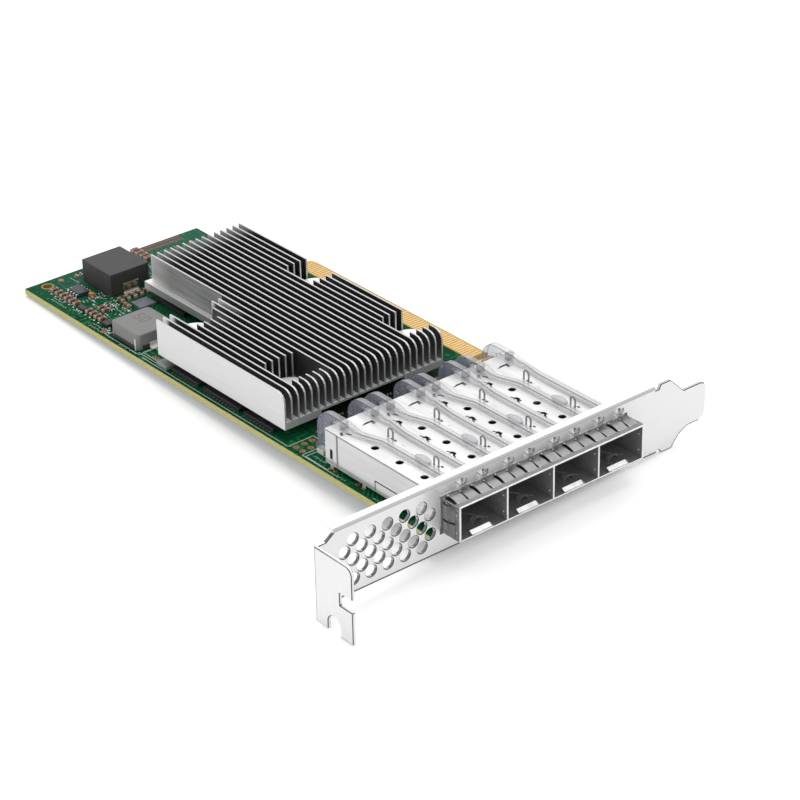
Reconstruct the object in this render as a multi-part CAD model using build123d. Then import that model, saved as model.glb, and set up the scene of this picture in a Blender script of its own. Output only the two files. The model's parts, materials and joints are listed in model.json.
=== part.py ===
from build123d import *
import math
import os

# Network interface card with a full-height bracket and four module ports.
# Millimetres. X runs along the board and out of the ports, Y from the long plain
# edge to the gold contacts, Z up from the component face. The build axes have
# X zero on the outer face of the bracket, Y zero on the plain edge and Z zero on
# the component face; every piece is moved to the base centre of the box at the end.

# Card
BOARD_T = 1.57
BOARD_LENGTH = 167.65
BOARD_FRONT = -1.40


def along(x):
    # Places along the board are typed for its standard length, and move in proportion.
    return BOARD_FRONT + (x - BOARD_FRONT) * BOARD_LENGTH / 167.65


def spot(centre, length, near, far):
    # A part's outline on the board: its middle moves with the board, its size doesn't.
    return (along(centre) - length / 2, along(centre) + length / 2, near, far)


CARD_HEIGHT = 68.90
REAR_STEP = 12.15
FRONT_STEP = 8.25
TAB_FRONT = -46.45
TAB_LENGTH = 85.20
KEY_START = 11.65
KEY_WIDTH = 1.90
KEY_DEPTH = 7.20
TAB_BEVEL = 1.00
TAB_CORNER = 1.30
CONTACT_PITCH = 1.00
CONTACT_WIDTH = 0.70
CONTACT_INSET = 0.825
CONTACT_T = 0.06
CONTACT_REACH = 6.00
CONTACTS_FRONT = 11
CONTACTS_REAR = 71
TOOL_HOLE = (along(-166.10), 5.35)
TOOL_HOLE_R = 1.30
TOOL_WALL = 0.18
TOOL_RING_R = 1.75
HEADER_HOLES = [(-53.7, 2.2), (-51.2, 2.2), (-53.7, 4.7), (-51.2, 4.7), (-53.7, 7.2)]
HEADER_HOLE_R = 0.45
HEADER_RING_R = 0.80
HEADER_PADS = 14
HEADER_PAD_X = (along(-168.00), along(-166.15))
HEADER_PAD_FIRST = 36.55
HEADER_PAD_PITCH = 1.00
PAD_LENGTH = 1.30
PAD_WIDTH = 0.72
FOIL_T = 0.05

# Facets of small round pieces, of vent holes and of a quarter bend
SIDES = 14
VENT_SIDES = 18
ARC_STEPS = 6

# Bracket
SHEET_T = 0.86
BRACKET_BOTTOM = -4.29
BRACKET_HEIGHT = 18.42
BRACKET_FOLD = -33.66
BRACKET_LENGTH = 120.20
FLANGE_DEPTH = 2.30
FLANGE_BEND = 0.92
FLANGE_START = -28.60
FLANGE_END = 69.40
SCREW_TAB_LENGTH = 12.29
SCREW_TAB_BOTTOM = -7.80
SCREW_TAB_TOP = 11.60
SCREW_TAB_CORNER = 2.00
SCREW_SLOT_WIDTH = 4.42
SCREW_SLOT_CENTRE = 5.70
SCREW_SLOT_DEPTH = 4.20
NOTCH_LENGTH = 4.40
NOTCH_LOW = 0.40
NOTCH_HIGH = 3.60
TONGUE_WIDTH = 10.19
TONGUE_LOW = -0.50
VENT_R = 1.50
VENT_PITCH = 4.93
VENT_ROW = 2.58
VENT_FIRST = (-3.55, 9.50)
EAR_WIDTH = 7.00
EAR_LENGTH = 8.80
EAR_CENTRES = (12.50, 49.30)
EAR_SCREW_X = -6.40
EAR_HOLE_R = 1.35
INSERT_R = 2.00
INSERT_BORE_R = 1.30
SHANK_R = 1.22
HEAD_R = 2.30
HEAD_T = 1.00

# Cage
CAGE_NEAR = 2.27
CAGE_REAR = -42.30
CAGE_FRONT = 6.32
CAGE_TOP = 10.15
CAGE_BOTTOM = 0.95
PORTS = 4
PORT_PITCH = 14.20
CAGE_WALL = 0.50
CAGE_SHEET = 0.40
FLOOR_REAR = -29.80
LEG_LENGTH = 1.20
LEGS = (-40.0, -28.0, -16.0, -5.0)
LATCH_WIDTH = 5.80
LATCH_DEPTH = 1.10
LATCH_RISE = 0.60
HOLE_COLUMNS = (-27.1, -18.2, -9.3)
HOLE_OFFSET = 2.95
HOLE_R = 1.00
TAB_COLUMNS = (-32.8, -22.3, -13.3)
TAB_SLOT_LENGTH = 1.80
SLOT_WIDTH = 0.55
CORNER_SLOT = (-37.9, 8.3, 10.8)
REAR_SEAM = (-38.0, -37.5)
REAR_SLOT = (-40.6, -39.6)
REAR_SLOT_HEIGHT = (2.5, 5.2)
SEAM_DEPTH = 0.22
LIP = 0.25
LIP_LINE = 0.14
SPRING_T = 0.18
SPRING_REAR = 0.15
SPRING_FRONT = 5.80
FINGERS_PER_PORT = 4
FINGER_WIDTH = 2.70
FINGER_RISE = 0.75
CUTOUT_CLEARANCE = 0.35

# Module connectors
CONNECTOR_REAR = -41.20
CONNECTOR_FRONT = -31.40
CONNECTOR_WIDTH = 11.80
CONNECTOR_HEIGHT = 6.20
CONNECTOR_SLOT_LOW = 3.00
CONNECTOR_SLOT_HEIGHT = 1.30
CONNECTOR_SLOT_WIDTH = 9.20
CONNECTOR_SLOT_DEPTH = 5.00

# Light pipes
PIPE_WIDTH = 1.90
PIPE_T = 1.90
PIPE_LOW = 10.50
PIPE_BEND_X = -43.60
PIPE_BEND_R = 4.90
PIPE_LEG = 5.60
PIPE_FOOT = (0.70, 2.60)
PIPE_FRONT = 1.20
PIPE_REAR_OFFSETS = (3.35, 12.75)
PIPE_FRONT_OFFSETS = (5.45, 11.85)
PIPE_SWING_START = -38.00
PIPE_SWING_END = -30.00
CLIP_LENGTH = 1.50
CLIPS = (-29.0, -20.5, -11.5)
LIGHT_T = 1.10
LIGHT_LENGTH = 2.60
LIGHT_WIDTH = 2.00

# Heat sink
SINK_REAR = along(-142.00)
SINK_BLOCK_REAR = along(-110.50)
SINK_FRONT = along(-57.90)
SINK_NEAR = 2.27
SINK_LOW = 2.70
SINK_BASE_TOP = 4.75
SINK_TOP = 12.55
FINS = 25
FIN_PITCH = 2.06
FIN_T = 0.50
FIN_CORNER = 2.60
FIRST_REAR_FIN = 11
LEDGE = 1.50
PAD_X = (along(-107.50), along(-68.50))
PAD_Y = (12.20, 50.60)
PAD_R = 4.60
PAD_TOP = 7.10
GAP_REAR = (along(-112.60), along(-101.60))
GAP_FRONT = (along(-73.50), along(-62.80))
RECESS_NEAR = 13.45
RECESS_FAR = 39.65
RECESS_REAR = along(-71.50)
RECESS_TOP = 4.10
POST_R = 3.20
SINK_SCREW_DEPTH = 3.40
SINK_HEAD_R = 2.50
SINK_HEAD_T = 0.90

# Controller
CHIP_CENTRE = (along(-88.00), 31.40)
PACKAGE_SIZE = 31.00
PACKAGE_T = 1.00
LID_SIZE = 27.00
LID_T = 1.40

# Power parts
BLACK_INDUCTOR = spot(-155.70, 13.40, 14.30, 26.70)
BLACK_INDUCTOR_T = 6.60
TERMINAL_T = 0.30
BLACK_TERMINAL_WIDTH = 5.00
BLACK_TERMINAL_HEIGHT = 3.00
TERMINAL_FOOT = 1.30
GREY_INDUCTOR = spot(-125.10, 12.20, 1.90, 14.00)
GREY_INDUCTOR_T = 4.60
GREY_CORNER = 1.20
GREY_TERMINAL_WIDTH = 5.00
GREY_TERMINAL_HEIGHT = 1.60

# Small parts
CHIP8_BODY = spot(-157.30, 5.00, 7.80, 11.20)
CHIP8_LOW = 0.15
CHIP8_T = 1.10
LEAD_REACH = 0.85
LEAD_WIDTH = 0.42
LEAD_T = 0.20
LEAD_PITCH = 1.27
SOT_BODY = spot(-148.15, 2.70, 3.70, 5.30)
SOT_LEAD_PITCH = 0.95
POWER_CHIP = spot(-140.30, 4.60, 16.00, 21.00)
POWER_CHIP_T = 0.70
FLASH_CHIP = spot(-133.00, 12.00, 21.90, 28.00)
EDGE_CHIPS = ((-99.3, 11.4), (-84.0, 14.8), (-68.8, 11.6))
EDGE_CHIP_NEAR = 2.20
EDGE_CHIP_WIDTH = 6.40
CHIP_T = 1.10
DARK_CHIP = spot(-136.40, 2.60, 3.30, 6.50)
CRYSTAL = spot(-108.15, 4.30, 1.20, 4.20)
SMALL_CAP = (1.10, 2.10, 0.95)
LARGE_CAP = (1.60, 2.40, 1.30)
END_CAP = 0.40
CAP_ROW = [(along(-162.4 + 2.10 * n), 5.10) for n in range(6)]
CAP_ROW_FRONT = [(along(-146.1 + 2.03 * n), 5.10) for n in range(4)]
CAP_PAIR = [(along(-145.5 + 2.00 * n), 8.60) for n in range(2)]
CAPS_ACROSS = [(BLACK_INDUCTOR[1] + 3.35, 15.00 + 2.10 * n) for n in range(5)]
CAPS_ACROSS += [(BLACK_INDUCTOR[1] + 6.90, 14.45)]
LARGE_CAPS = [(along(-167.3 + 2.05 * n), 34.70) for n in range(4)]

# Positions that follow from the sizes above
BOARD_REAR = BOARD_FRONT - BOARD_LENGTH
TAB_REAR = TAB_FRONT - TAB_LENGTH
KEY_FRONT = TAB_FRONT - KEY_START
BRACKET_TOP = BRACKET_BOTTOM + BRACKET_HEIGHT
BRACKET_END = BRACKET_FOLD + BRACKET_LENGTH
CAGE_FAR = CAGE_NEAR + PORTS * PORT_PITCH + CAGE_WALL
PIPE_TOP = PIPE_LOW + PIPE_T
BEND_Z = PIPE_TOP - PIPE_BEND_R
SINK_FAR = SINK_NEAR + (FINS - 1) * FIN_PITCH + FIN_T
REAR_BLOCK_NEAR = SINK_NEAR + (FIRST_REAR_FIN - 1) * FIN_PITCH
LID_TOP = PACKAGE_T + LID_T
SHIFT = (
    -(BOARD_REAR + SCREW_TAB_LENGTH) / 2,
    -(BRACKET_FOLD + BRACKET_END) / 2,
    -SCREW_TAB_BOTTOM,
)


def block(x0, x1, y0, y1, z0, z1):
    centre = Pos((x0 + x1) / 2, (y0 + y1) / 2, (z0 + z1) / 2)
    return centre * Box(x1 - x0, y1 - y0, z1 - z0)


def rod(x, y, z0, z1, radius):
    return Pos(x, y, (z0 + z1) / 2) * Cylinder(radius, z1 - z0)


def faceted_rod(x, y, z0, z1, radius, sides=SIDES):
    return Pos(x, y, z0) * extrude(RegularPolygon(radius, sides), amount=z1 - z0)


def quarter_arc(x, z, radius, start, steps=ARC_STEPS):
    # Points on a quarter circle round (x, z), from the start angle in degrees, growing.
    angles = [math.radians(start + 90 * n / steps) for n in range(steps + 1)]
    return [(x + radius * math.cos(a), z + radius * math.sin(a)) for a in angles]


def prism(points, z0, z1):
    return Pos(0, 0, z0) * extrude(outline(points), amount=z1 - z0)


def profile_xz(face, y0, y1):
    # The face is drawn with X across and Z up; it is swept from y0 to y1.
    placed = Plane((0, y0, 0), x_dir=(1, 0, 0), z_dir=(0, -1, 0)) * face
    return extrude(placed, amount=-(y1 - y0))


def profile_yz(face, x0, x1):
    # The face is drawn with Y across and Z up; it is swept from x0 to x1.
    placed = Plane((x0, 0, 0), x_dir=(0, 1, 0), z_dir=(1, 0, 0)) * face
    return extrude(placed, amount=x1 - x0)


def outline(points):
    return make_face(Polyline(*points, close=True))


def save(name, shapes):
    pieces = shapes if isinstance(shapes, list) else [shapes]
    solids = [s for piece in pieces for s in piece.solids()]
    moved = [Pos(*SHIFT) * s for s in solids]
    result = moved[0] if len(moved) == 1 else Compound(children=moved)
    result.label = name
    export_step(result, f"parts/{name}.step")


# Board

def circuit_board():
    rear_far = CARD_HEIGHT - REAR_STEP
    front_far = CARD_HEIGHT - FRONT_STEP
    corner = TAB_CORNER
    points = [
        (BOARD_REAR, 0),
        (BOARD_FRONT, 0),
        (BOARD_FRONT, front_far),
        (TAB_FRONT, front_far),
        (TAB_FRONT, CARD_HEIGHT - corner),
        (TAB_FRONT - corner, CARD_HEIGHT),
        (TAB_REAR + corner, CARD_HEIGHT),
        (TAB_REAR, CARD_HEIGHT - corner),
        (TAB_REAR, rear_far),
        (BOARD_REAR, rear_far),
    ]
    board = prism(points, -BOARD_T, 0)
    drop = BOARD_T / 3
    bevel = outline([
        (CARD_HEIGHT - TAB_BEVEL, 0.5),
        (CARD_HEIGHT - TAB_BEVEL, 0),
        (CARD_HEIGHT, -drop),
        (CARD_HEIGHT + 1, -drop),
        (CARD_HEIGHT + 1, 0.5),
    ])
    upper = profile_yz(bevel, TAB_REAR - 1, TAB_FRONT + 1)
    board -= upper
    board -= mirror(upper, Plane((0, 0, -BOARD_T / 2), z_dir=(0, 0, 1)))
    key_low = CARD_HEIGHT - KEY_DEPTH
    board -= block(KEY_FRONT - KEY_WIDTH, KEY_FRONT, key_low, CARD_HEIGHT + 1, -BOARD_T - 1, 1)
    board -= rod(*TOOL_HOLE, -BOARD_T - 1, 1, TOOL_HOLE_R + TOOL_WALL)
    holes = [(x, y, HEADER_HOLE_R) for x, y in HEADER_HOLES]
    holes += [(EAR_SCREW_X, y, INSERT_R) for y in EAR_CENTRES]
    holes += [(x, y, EAR_HOLE_R) for x in PAD_X for y in PAD_Y]
    return board - [faceted_rod(x, y, -BOARD_T - 1, 1, radius) for x, y, radius in holes]


def contact_centres():
    front = [TAB_FRONT - CONTACT_INSET - CONTACT_PITCH * n for n in range(CONTACTS_FRONT)]
    start = KEY_FRONT - KEY_WIDTH - CONTACT_INSET
    rear = [start - CONTACT_PITCH * n for n in range(CONTACTS_REAR)]
    return front + rear


def contacts(z0, z1):
    half = CONTACT_WIDTH / 2
    outer = CARD_HEIGHT - TAB_BEVEL - 0.1
    inner = CARD_HEIGHT - CONTACT_REACH
    return [block(x - half, x + half, inner, outer, z0, z1) for x in contact_centres()]


def tool_hole_plating():
    x, y = TOOL_HOLE
    ring = faceted_rod(x, y, 0, FOIL_T, TOOL_RING_R, 24)
    ring += faceted_rod(x, y, -BOARD_T - FOIL_T, -BOARD_T, TOOL_RING_R, 24)
    ring += faceted_rod(x, y, -BOARD_T, 0, TOOL_HOLE_R + TOOL_WALL - 0.01, 24)
    return ring - rod(x, y, -BOARD_T - 1, 1, TOOL_HOLE_R)


def header_hole_rings():
    rings = []
    for x, y in HEADER_HOLES:
        ring = faceted_rod(x, y, 0, FOIL_T, HEADER_RING_R)
        rings.append(ring - faceted_rod(x, y, -1, 1, HEADER_HOLE_R))
    return rings


def header_pads():
    pads = []
    for n in range(HEADER_PADS):
        for x in HEADER_PAD_X:
            y = HEADER_PAD_FIRST + HEADER_PAD_PITCH * n
            corner = (x - PAD_LENGTH / 2, x + PAD_LENGTH / 2)
            pads.append(block(*corner, y - PAD_WIDTH / 2, y + PAD_WIDTH / 2, 0, FOIL_T))
    return pads


# Bracket

def bracket_face():
    tongue_high = TONGUE_LOW + TONGUE_WIDTH
    face = outline([
        (BRACKET_FOLD, SCREW_TAB_BOTTOM),
        (BRACKET_FOLD + 2.0, SCREW_TAB_BOTTOM),
        (BRACKET_FOLD + 5.5, BRACKET_BOTTOM),
        (FLANGE_END + 0.9, BRACKET_BOTTOM),
        (FLANGE_END + 1.5, BRACKET_BOTTOM + 0.6),
        (FLANGE_END + 2.7, BRACKET_BOTTOM - 0.56),
        (FLANGE_END + 5.8, BRACKET_BOTTOM - 0.56),
        (FLANGE_END + 8.2, TONGUE_LOW - 1.5),
        (FLANGE_END + 11.0, TONGUE_LOW),
        (BRACKET_END - 2.2, TONGUE_LOW),
        (BRACKET_END - 0.65, TONGUE_LOW + 0.65),
        (BRACKET_END, TONGUE_LOW + 2.2),
        (BRACKET_END, tongue_high - 1.8),
        (BRACKET_END - 0.5, tongue_high - 0.5),
        (BRACKET_END - 1.8, tongue_high),
        (FLANGE_END + 9.6, tongue_high),
        (FLANGE_END + 5.0, BRACKET_TOP),
        (FLANGE_END + 1.8, BRACKET_TOP),
        (FLANGE_END + 1.2, BRACKET_TOP - 1.2),
        (FLANGE_END, BRACKET_TOP - 1.2),
        (FLANGE_END, BRACKET_TOP - FLANGE_BEND),
        (FLANGE_START, BRACKET_TOP - FLANGE_BEND),
        (FLANGE_START - 2.2, SCREW_TAB_TOP),
        (BRACKET_FOLD, SCREW_TAB_TOP),
    ])
    vent = RegularPolygon(VENT_R, VENT_SIDES)
    vents = [profile_yz(Pos(y, z) * vent, -SHEET_T - 1, 1) for y, z in vent_centres()]
    return profile_yz(face, -SHEET_T, 0) - [port_cutout(), *vents]


def vent_centres():
    centres = []
    for row, count in ((0, 5), (1, 6), (2, 5), (3, 5), (4, 5)):
        shift = VENT_PITCH / 2 if row % 2 else 0
        for n in range(count):
            y = VENT_FIRST[0] + shift - VENT_PITCH * n
            centres.append((y, VENT_FIRST[1] - VENT_ROW * row))
    return centres


def port_cutout():
    gap = CUTOUT_CLEARANCE
    low = CAGE_BOTTOM - gap
    hole = block(-2, 1, CAGE_NEAR - gap, CAGE_FAR + gap, low, CAGE_TOP + gap)
    for port in range(PORTS):
        for offset in PIPE_FRONT_OFFSETS:
            y = CAGE_NEAR + port * PORT_PITCH + offset
            reach = PIPE_WIDTH / 2 + 0.15
            hole += block(-2, 1, y - reach, y + reach, CAGE_TOP, PIPE_TOP + 0.15)
    for y in EAR_CENTRES:
        half = EAR_WIDTH / 2
        hole += block(-2, 1, y - half, y + half, -BOARD_T - SHEET_T, low)
    return hole


def bracket_flange():
    high = BRACKET_TOP
    bend = quarter_arc(-FLANGE_BEND, high - FLANGE_BEND, FLANGE_BEND, 0)
    section = [(-SHEET_T, high - FLANGE_BEND), *bend, (-FLANGE_DEPTH, high)]
    section += [(-FLANGE_DEPTH, high - SHEET_T), (-SHEET_T, high - SHEET_T)]
    return profile_xz(outline(section), FLANGE_START, FLANGE_END)


def bracket_screw_tab():
    tab = block(-SHEET_T, SCREW_TAB_LENGTH, BRACKET_FOLD, BRACKET_FOLD + SHEET_T,
                SCREW_TAB_BOTTOM, SCREW_TAB_TOP)
    corner = tab.edges().filter_by(Axis.Y).sort_by(Axis.X)[-2:].sort_by(Axis.Z)[-1]
    tab = fillet(corner, SCREW_TAB_CORNER)
    y = BRACKET_FOLD + SHEET_T / 2
    half = SCREW_SLOT_WIDTH / 2
    top = SCREW_TAB_BOTTOM + SCREW_SLOT_DEPTH
    low = SCREW_TAB_BOTTOM - 1
    x = SCREW_SLOT_CENTRE
    tab -= block(x - half, x + half, y - 1, y + 1, low, top - half)
    tab -= Pos(x, y, top - half) * Rot(90, 0, 0) * Cylinder(half, 2)
    reach = SCREW_TAB_LENGTH - NOTCH_LENGTH
    tab -= block(reach, SCREW_TAB_LENGTH + 1, y - 1, y + 1, NOTCH_LOW, NOTCH_HIGH)
    return tab


def bracket_ears():
    ears = []
    for y in EAR_CENTRES:
        half = EAR_WIDTH / 2
        low = -BOARD_T - SHEET_T
        ear = block(-EAR_LENGTH - SHEET_T, 0, y - half, y + half, low, -BOARD_T)
        ears.append(ear - faceted_rod(EAR_SCREW_X, y, low - 1, 0, EAR_HOLE_R))
    return ears


def bracket():
    return bracket_face() + [bracket_flange(), bracket_screw_tab(), *bracket_ears()]


def bracket_screws():
    seat = -BOARD_T - SHEET_T
    screws = []
    for y in EAR_CENTRES:
        head = faceted_rod(EAR_SCREW_X, y, seat - HEAD_T, seat, HEAD_R)
        screws.append(head + faceted_rod(EAR_SCREW_X, y, seat, 0, SHANK_R))
    return screws


def board_inserts():
    inserts = []
    for y in EAR_CENTRES:
        sleeve = faceted_rod(EAR_SCREW_X, y, -BOARD_T, 0, INSERT_R - 0.02)
        inserts.append(sleeve - faceted_rod(EAR_SCREW_X, y, -BOARD_T - 1, 1, INSERT_BORE_R))
    return inserts


# Cooling

def fin_spans(number):
    if number <= 3:
        return [(SINK_BLOCK_REAR, SINK_FRONT)]
    if number <= 7:
        return [(GAP_REAR[1], GAP_FRONT[0]), (GAP_FRONT[1], SINK_FRONT)]
    if number == 8:
        return [(GAP_REAR[1] - 4.5, GAP_FRONT[0]), (GAP_FRONT[1], SINK_FRONT)]
    if number < FIRST_REAR_FIN:
        return [(SINK_BLOCK_REAR + 1.0, SINK_FRONT)]
    if number <= FINS - 4:
        return [(SINK_REAR, SINK_FRONT)]
    return [(SINK_REAR, GAP_REAR[0]), (GAP_REAR[1], GAP_FRONT[0]), (GAP_FRONT[1], SINK_FRONT)]


def fin(number):
    low = SINK_BASE_TOP - 0.3
    y = SINK_NEAR + (number - 1) * FIN_PITCH
    pieces = []
    for x0, x1 in fin_spans(number):
        if x1 == SINK_FRONT:
            bend = quarter_arc(x1 - FIN_CORNER, SINK_TOP - FIN_CORNER, FIN_CORNER, 0, 4)
            face = outline([(x0, low), (x1, low), *bend, (x0, SINK_TOP)])
        else:
            face = outline([(x0, low), (x1, low), (x1, SINK_TOP), (x0, SINK_TOP)])
        pieces.append(profile_xz(face, y, y + FIN_T))
    return pieces


def heat_sink():
    points = [
        (SINK_REAR - LEDGE, REAR_BLOCK_NEAR - LEDGE),
        (SINK_BLOCK_REAR, REAR_BLOCK_NEAR - LEDGE),
        (SINK_BLOCK_REAR, SINK_NEAR),
        (SINK_FRONT, SINK_NEAR),
        (SINK_FRONT, SINK_FAR),
        (SINK_REAR - LEDGE, SINK_FAR),
    ]
    sink = prism(points, SINK_LOW, SINK_BASE_TOP)
    sink -= block(RECESS_REAR, SINK_FRONT + 1, RECESS_NEAR, RECESS_FAR, SINK_LOW - 1, RECESS_TOP)
    sink += [piece for number in range(1, FINS + 1) for piece in fin(number)]
    corners = [(x, y) for x in PAD_X for y in PAD_Y]
    sink += [faceted_rod(x, y, SINK_LOW, PAD_TOP, PAD_R, 28) for x, y in corners]
    sink += [faceted_rod(x, y, 0, SINK_LOW, POST_R) for x, y in corners]
    deep = SINK_SCREW_DEPTH + 0.3
    return sink - [faceted_rod(x, y, -1, deep, INSERT_BORE_R) for x, y in corners]


def heat_sink_screws():
    screws = []
    for x in PAD_X:
        for y in PAD_Y:
            head = faceted_rod(x, y, -BOARD_T - SINK_HEAD_T, -BOARD_T, SINK_HEAD_R)
            screws.append(head + faceted_rod(x, y, -BOARD_T, SINK_SCREW_DEPTH, SHANK_R))
    return screws


def square_plate(size, z0, z1):
    x, y = CHIP_CENTRE
    return block(x - size / 2, x + size / 2, y - size / 2, y + size / 2, z0, z1)


# Cage

def cage_cover():
    cover = block(CAGE_REAR, CAGE_FRONT, CAGE_NEAR, CAGE_FAR, CAGE_TOP - CAGE_SHEET, CAGE_TOP)
    half = LEG_LENGTH / 2
    for y in (CAGE_NEAR, CAGE_FAR - CAGE_WALL):
        cover += block(CAGE_REAR, CAGE_FRONT, y, y + CAGE_WALL, CAGE_BOTTOM, CAGE_TOP)
        cover += [block(x - half, x + half, y, y + CAGE_WALL, 0, CAGE_BOTTOM) for x in LEGS]
    rear = CAGE_REAR + CAGE_SHEET
    cover += block(CAGE_REAR, rear, CAGE_NEAR, CAGE_FAR, CAGE_BOTTOM, CAGE_TOP)
    return cover - cage_top_openings() - cage_wall_openings()


def cage_top_openings():
    low = CAGE_TOP - CAGE_SHEET - 0.5
    high = CAGE_TOP + 0.5
    cuts = []
    for port in range(PORTS):
        y = CAGE_NEAR + port * PORT_PITCH
        for x in HOLE_COLUMNS:
            cuts.append(faceted_rod(x, y + HOLE_OFFSET, low, high, HOLE_R, 12))
        x, start, end = CORNER_SLOT
        cuts.append(block(x, x + SLOT_WIDTH, y + start, y + end, low, high))
        cuts.append(block(x, x + 1.7, y + end - SLOT_WIDTH / 2, y + end, low, high))
    for number in range(1, PORTS):
        y = CAGE_NEAR + number * PORT_PITCH + CAGE_WALL
        for x in TAB_COLUMNS:
            half = TAB_SLOT_LENGTH / 2
            cuts.append(block(x - half, x + half, y, y + SLOT_WIDTH, low, high))
    return cuts


def cage_wall_openings():
    # A folded seam, a slot in the rear panel and the lip line under the top.
    cuts = []
    for wall, inward in ((CAGE_NEAR, 1), (CAGE_FAR, -1)):
        deep = wall + inward * SEAM_DEPTH
        near, far = min(wall - inward, deep), max(wall - inward, deep)
        top = CAGE_TOP - LIP
        cuts.append(block(*REAR_SEAM, near, far, CAGE_BOTTOM, top))
        cuts.append(block(REAR_SEAM[1], CAGE_FRONT, near, far, top - LIP_LINE, top))
        through = wall + inward * (CAGE_WALL + 0.5)
        near, far = min(wall - inward, through), max(wall - inward, through)
        cuts.append(block(*REAR_SLOT, near, far, *REAR_SLOT_HEIGHT))
    return cuts


def port_centre(port):
    return CAGE_NEAR + CAGE_WALL / 2 + (port + 0.5) * PORT_PITCH


def cage_floor():
    near = CAGE_NEAR + CAGE_WALL
    far = CAGE_FAR - CAGE_WALL
    top = CAGE_BOTTOM + CAGE_SHEET
    floor = block(FLOOR_REAR, CAGE_FRONT, near, far, CAGE_BOTTOM, top)
    for port in range(PORTS):
        y = port_centre(port)
        ramp = outline([
            (CAGE_FRONT, top - 0.1),
            (CAGE_FRONT, top + 0.05),
            (CAGE_FRONT - LATCH_DEPTH, top + LATCH_RISE),
            (CAGE_FRONT - LATCH_DEPTH, top - 0.1),
        ])
        floor += profile_xz(ramp, y - LATCH_WIDTH / 2, y + LATCH_WIDTH / 2)
    return floor


def cage_divider(number):
    y = CAGE_NEAR + number * PORT_PITCH
    low = CAGE_BOTTOM + CAGE_SHEET
    return block(CAGE_REAR + CAGE_SHEET, CAGE_FRONT, y, y + CAGE_WALL, low, CAGE_TOP - CAGE_SHEET)


def finger_section(base, direction):
    # An arched strip that starts and ends on the band and bows away from the cage.
    rise = FINGER_RISE * direction
    thick = SPRING_T * direction
    x = [SPRING_REAR + 0.5, SPRING_REAR + 1.6, SPRING_REAR + 3.1, SPRING_FRONT - 0.9]
    outer = [base + thick, base + thick + rise, base + thick + rise * 0.85, base + thick]
    inner = [base + thick * 0.5, base + rise, base + rise * 0.85, base + thick * 0.5]
    return [(a, b) for a, b in zip(x, outer)] + [(a, b) for a, b in zip(x[::-1], inner[::-1])]


def spring_strip_top():
    strip = block(SPRING_REAR, SPRING_FRONT, CAGE_NEAR, CAGE_FAR, CAGE_TOP, CAGE_TOP + SPRING_T)
    step = PORT_PITCH / FINGERS_PER_PORT
    for port in range(PORTS):
        for n in range(FINGERS_PER_PORT):
            y = CAGE_NEAR + CAGE_WALL / 2 + port * PORT_PITCH + (n + 0.5) * step
            if min(abs(y - pipe) for pipe in pipe_fronts()) < 2.3:
                continue
            face = outline(finger_section(CAGE_TOP, 1))
            strip += profile_xz(face, y - FINGER_WIDTH / 2, y + FINGER_WIDTH / 2)
    return strip


def spring_strip_side(wall, direction):
    low = CAGE_BOTTOM + 0.2
    high = CAGE_TOP - 0.2
    outer = wall + SPRING_T * direction
    strip = block(SPRING_REAR, SPRING_FRONT, min(wall, outer), max(wall, outer), low, high)
    for z in (3.5, 7.6):
        section = prism(finger_section(wall, direction), z - 1.3, z + 1.3)
        strip += section
    return strip


def module_connector(port):
    y = port_centre(port)
    half = CONNECTOR_WIDTH / 2
    body = block(CONNECTOR_REAR, CONNECTOR_FRONT, y - half, y + half, 0, CONNECTOR_HEIGHT)
    slot = CONNECTOR_SLOT_WIDTH / 2
    low = CONNECTOR_SLOT_LOW
    mouth = CONNECTOR_FRONT - CONNECTOR_SLOT_DEPTH
    body -= block(mouth, CONNECTOR_FRONT + 1, y - slot, y + slot, low, low + CONNECTOR_SLOT_HEIGHT)
    return body


# Port lights

def pipe_fronts():
    starts = [CAGE_NEAR + port * PORT_PITCH for port in range(PORTS)]
    return [start + offset for start in starts for offset in PIPE_FRONT_OFFSETS]


def pipe_rears():
    starts = [CAGE_NEAR + port * PORT_PITCH for port in range(PORTS)]
    return [start + offset for start in starts for offset in PIPE_REAR_OFFSETS]


def light_pipe(number):
    rear = pipe_rears()[number]
    front = pipe_fronts()[number]
    half = PIPE_WIDTH / 2
    x = PIPE_BEND_X
    rear_face = x - PIPE_BEND_R
    front_face = rear_face + PIPE_LEG
    reach, foot = PIPE_FOOT
    bend = quarter_arc(x, BEND_Z, PIPE_BEND_R, 90)
    section = [(PIPE_SWING_START, PIPE_LOW), (PIPE_SWING_START, PIPE_TOP), *bend]
    section += [(rear_face, foot + reach), (rear_face - reach, foot), (rear_face - reach, LIGHT_T)]
    section += [(front_face, LIGHT_T), (front_face, PIPE_LOW)]
    pipe = profile_xz(outline(section), rear - half, rear + half)
    swing = [
        (PIPE_SWING_START, rear - half),
        (PIPE_SWING_END, front - half),
        (PIPE_FRONT, front - half),
        (PIPE_FRONT, front + half),
        (PIPE_SWING_END, front + half),
        (PIPE_SWING_START, rear + half),
    ]
    pipe += prism(swing, PIPE_LOW, PIPE_TOP)
    for clip in CLIPS:
        reach = CLIP_LENGTH / 2
        pipe += block(clip - reach, clip + reach, front - half, front + half, CAGE_TOP, PIPE_LOW)
    return pipe


def port_lights():
    x = PIPE_BEND_X - PIPE_BEND_R + PIPE_T / 2
    span = (x - LIGHT_LENGTH / 2, x + LIGHT_LENGTH / 2)
    half = LIGHT_WIDTH / 2
    return [block(*span, y - half, y + half, 0, LIGHT_T) for y in pipe_rears()]


# Power parts

def black_inductor():
    return block(*BLACK_INDUCTOR, 0, BLACK_INDUCTOR_T)


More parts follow.
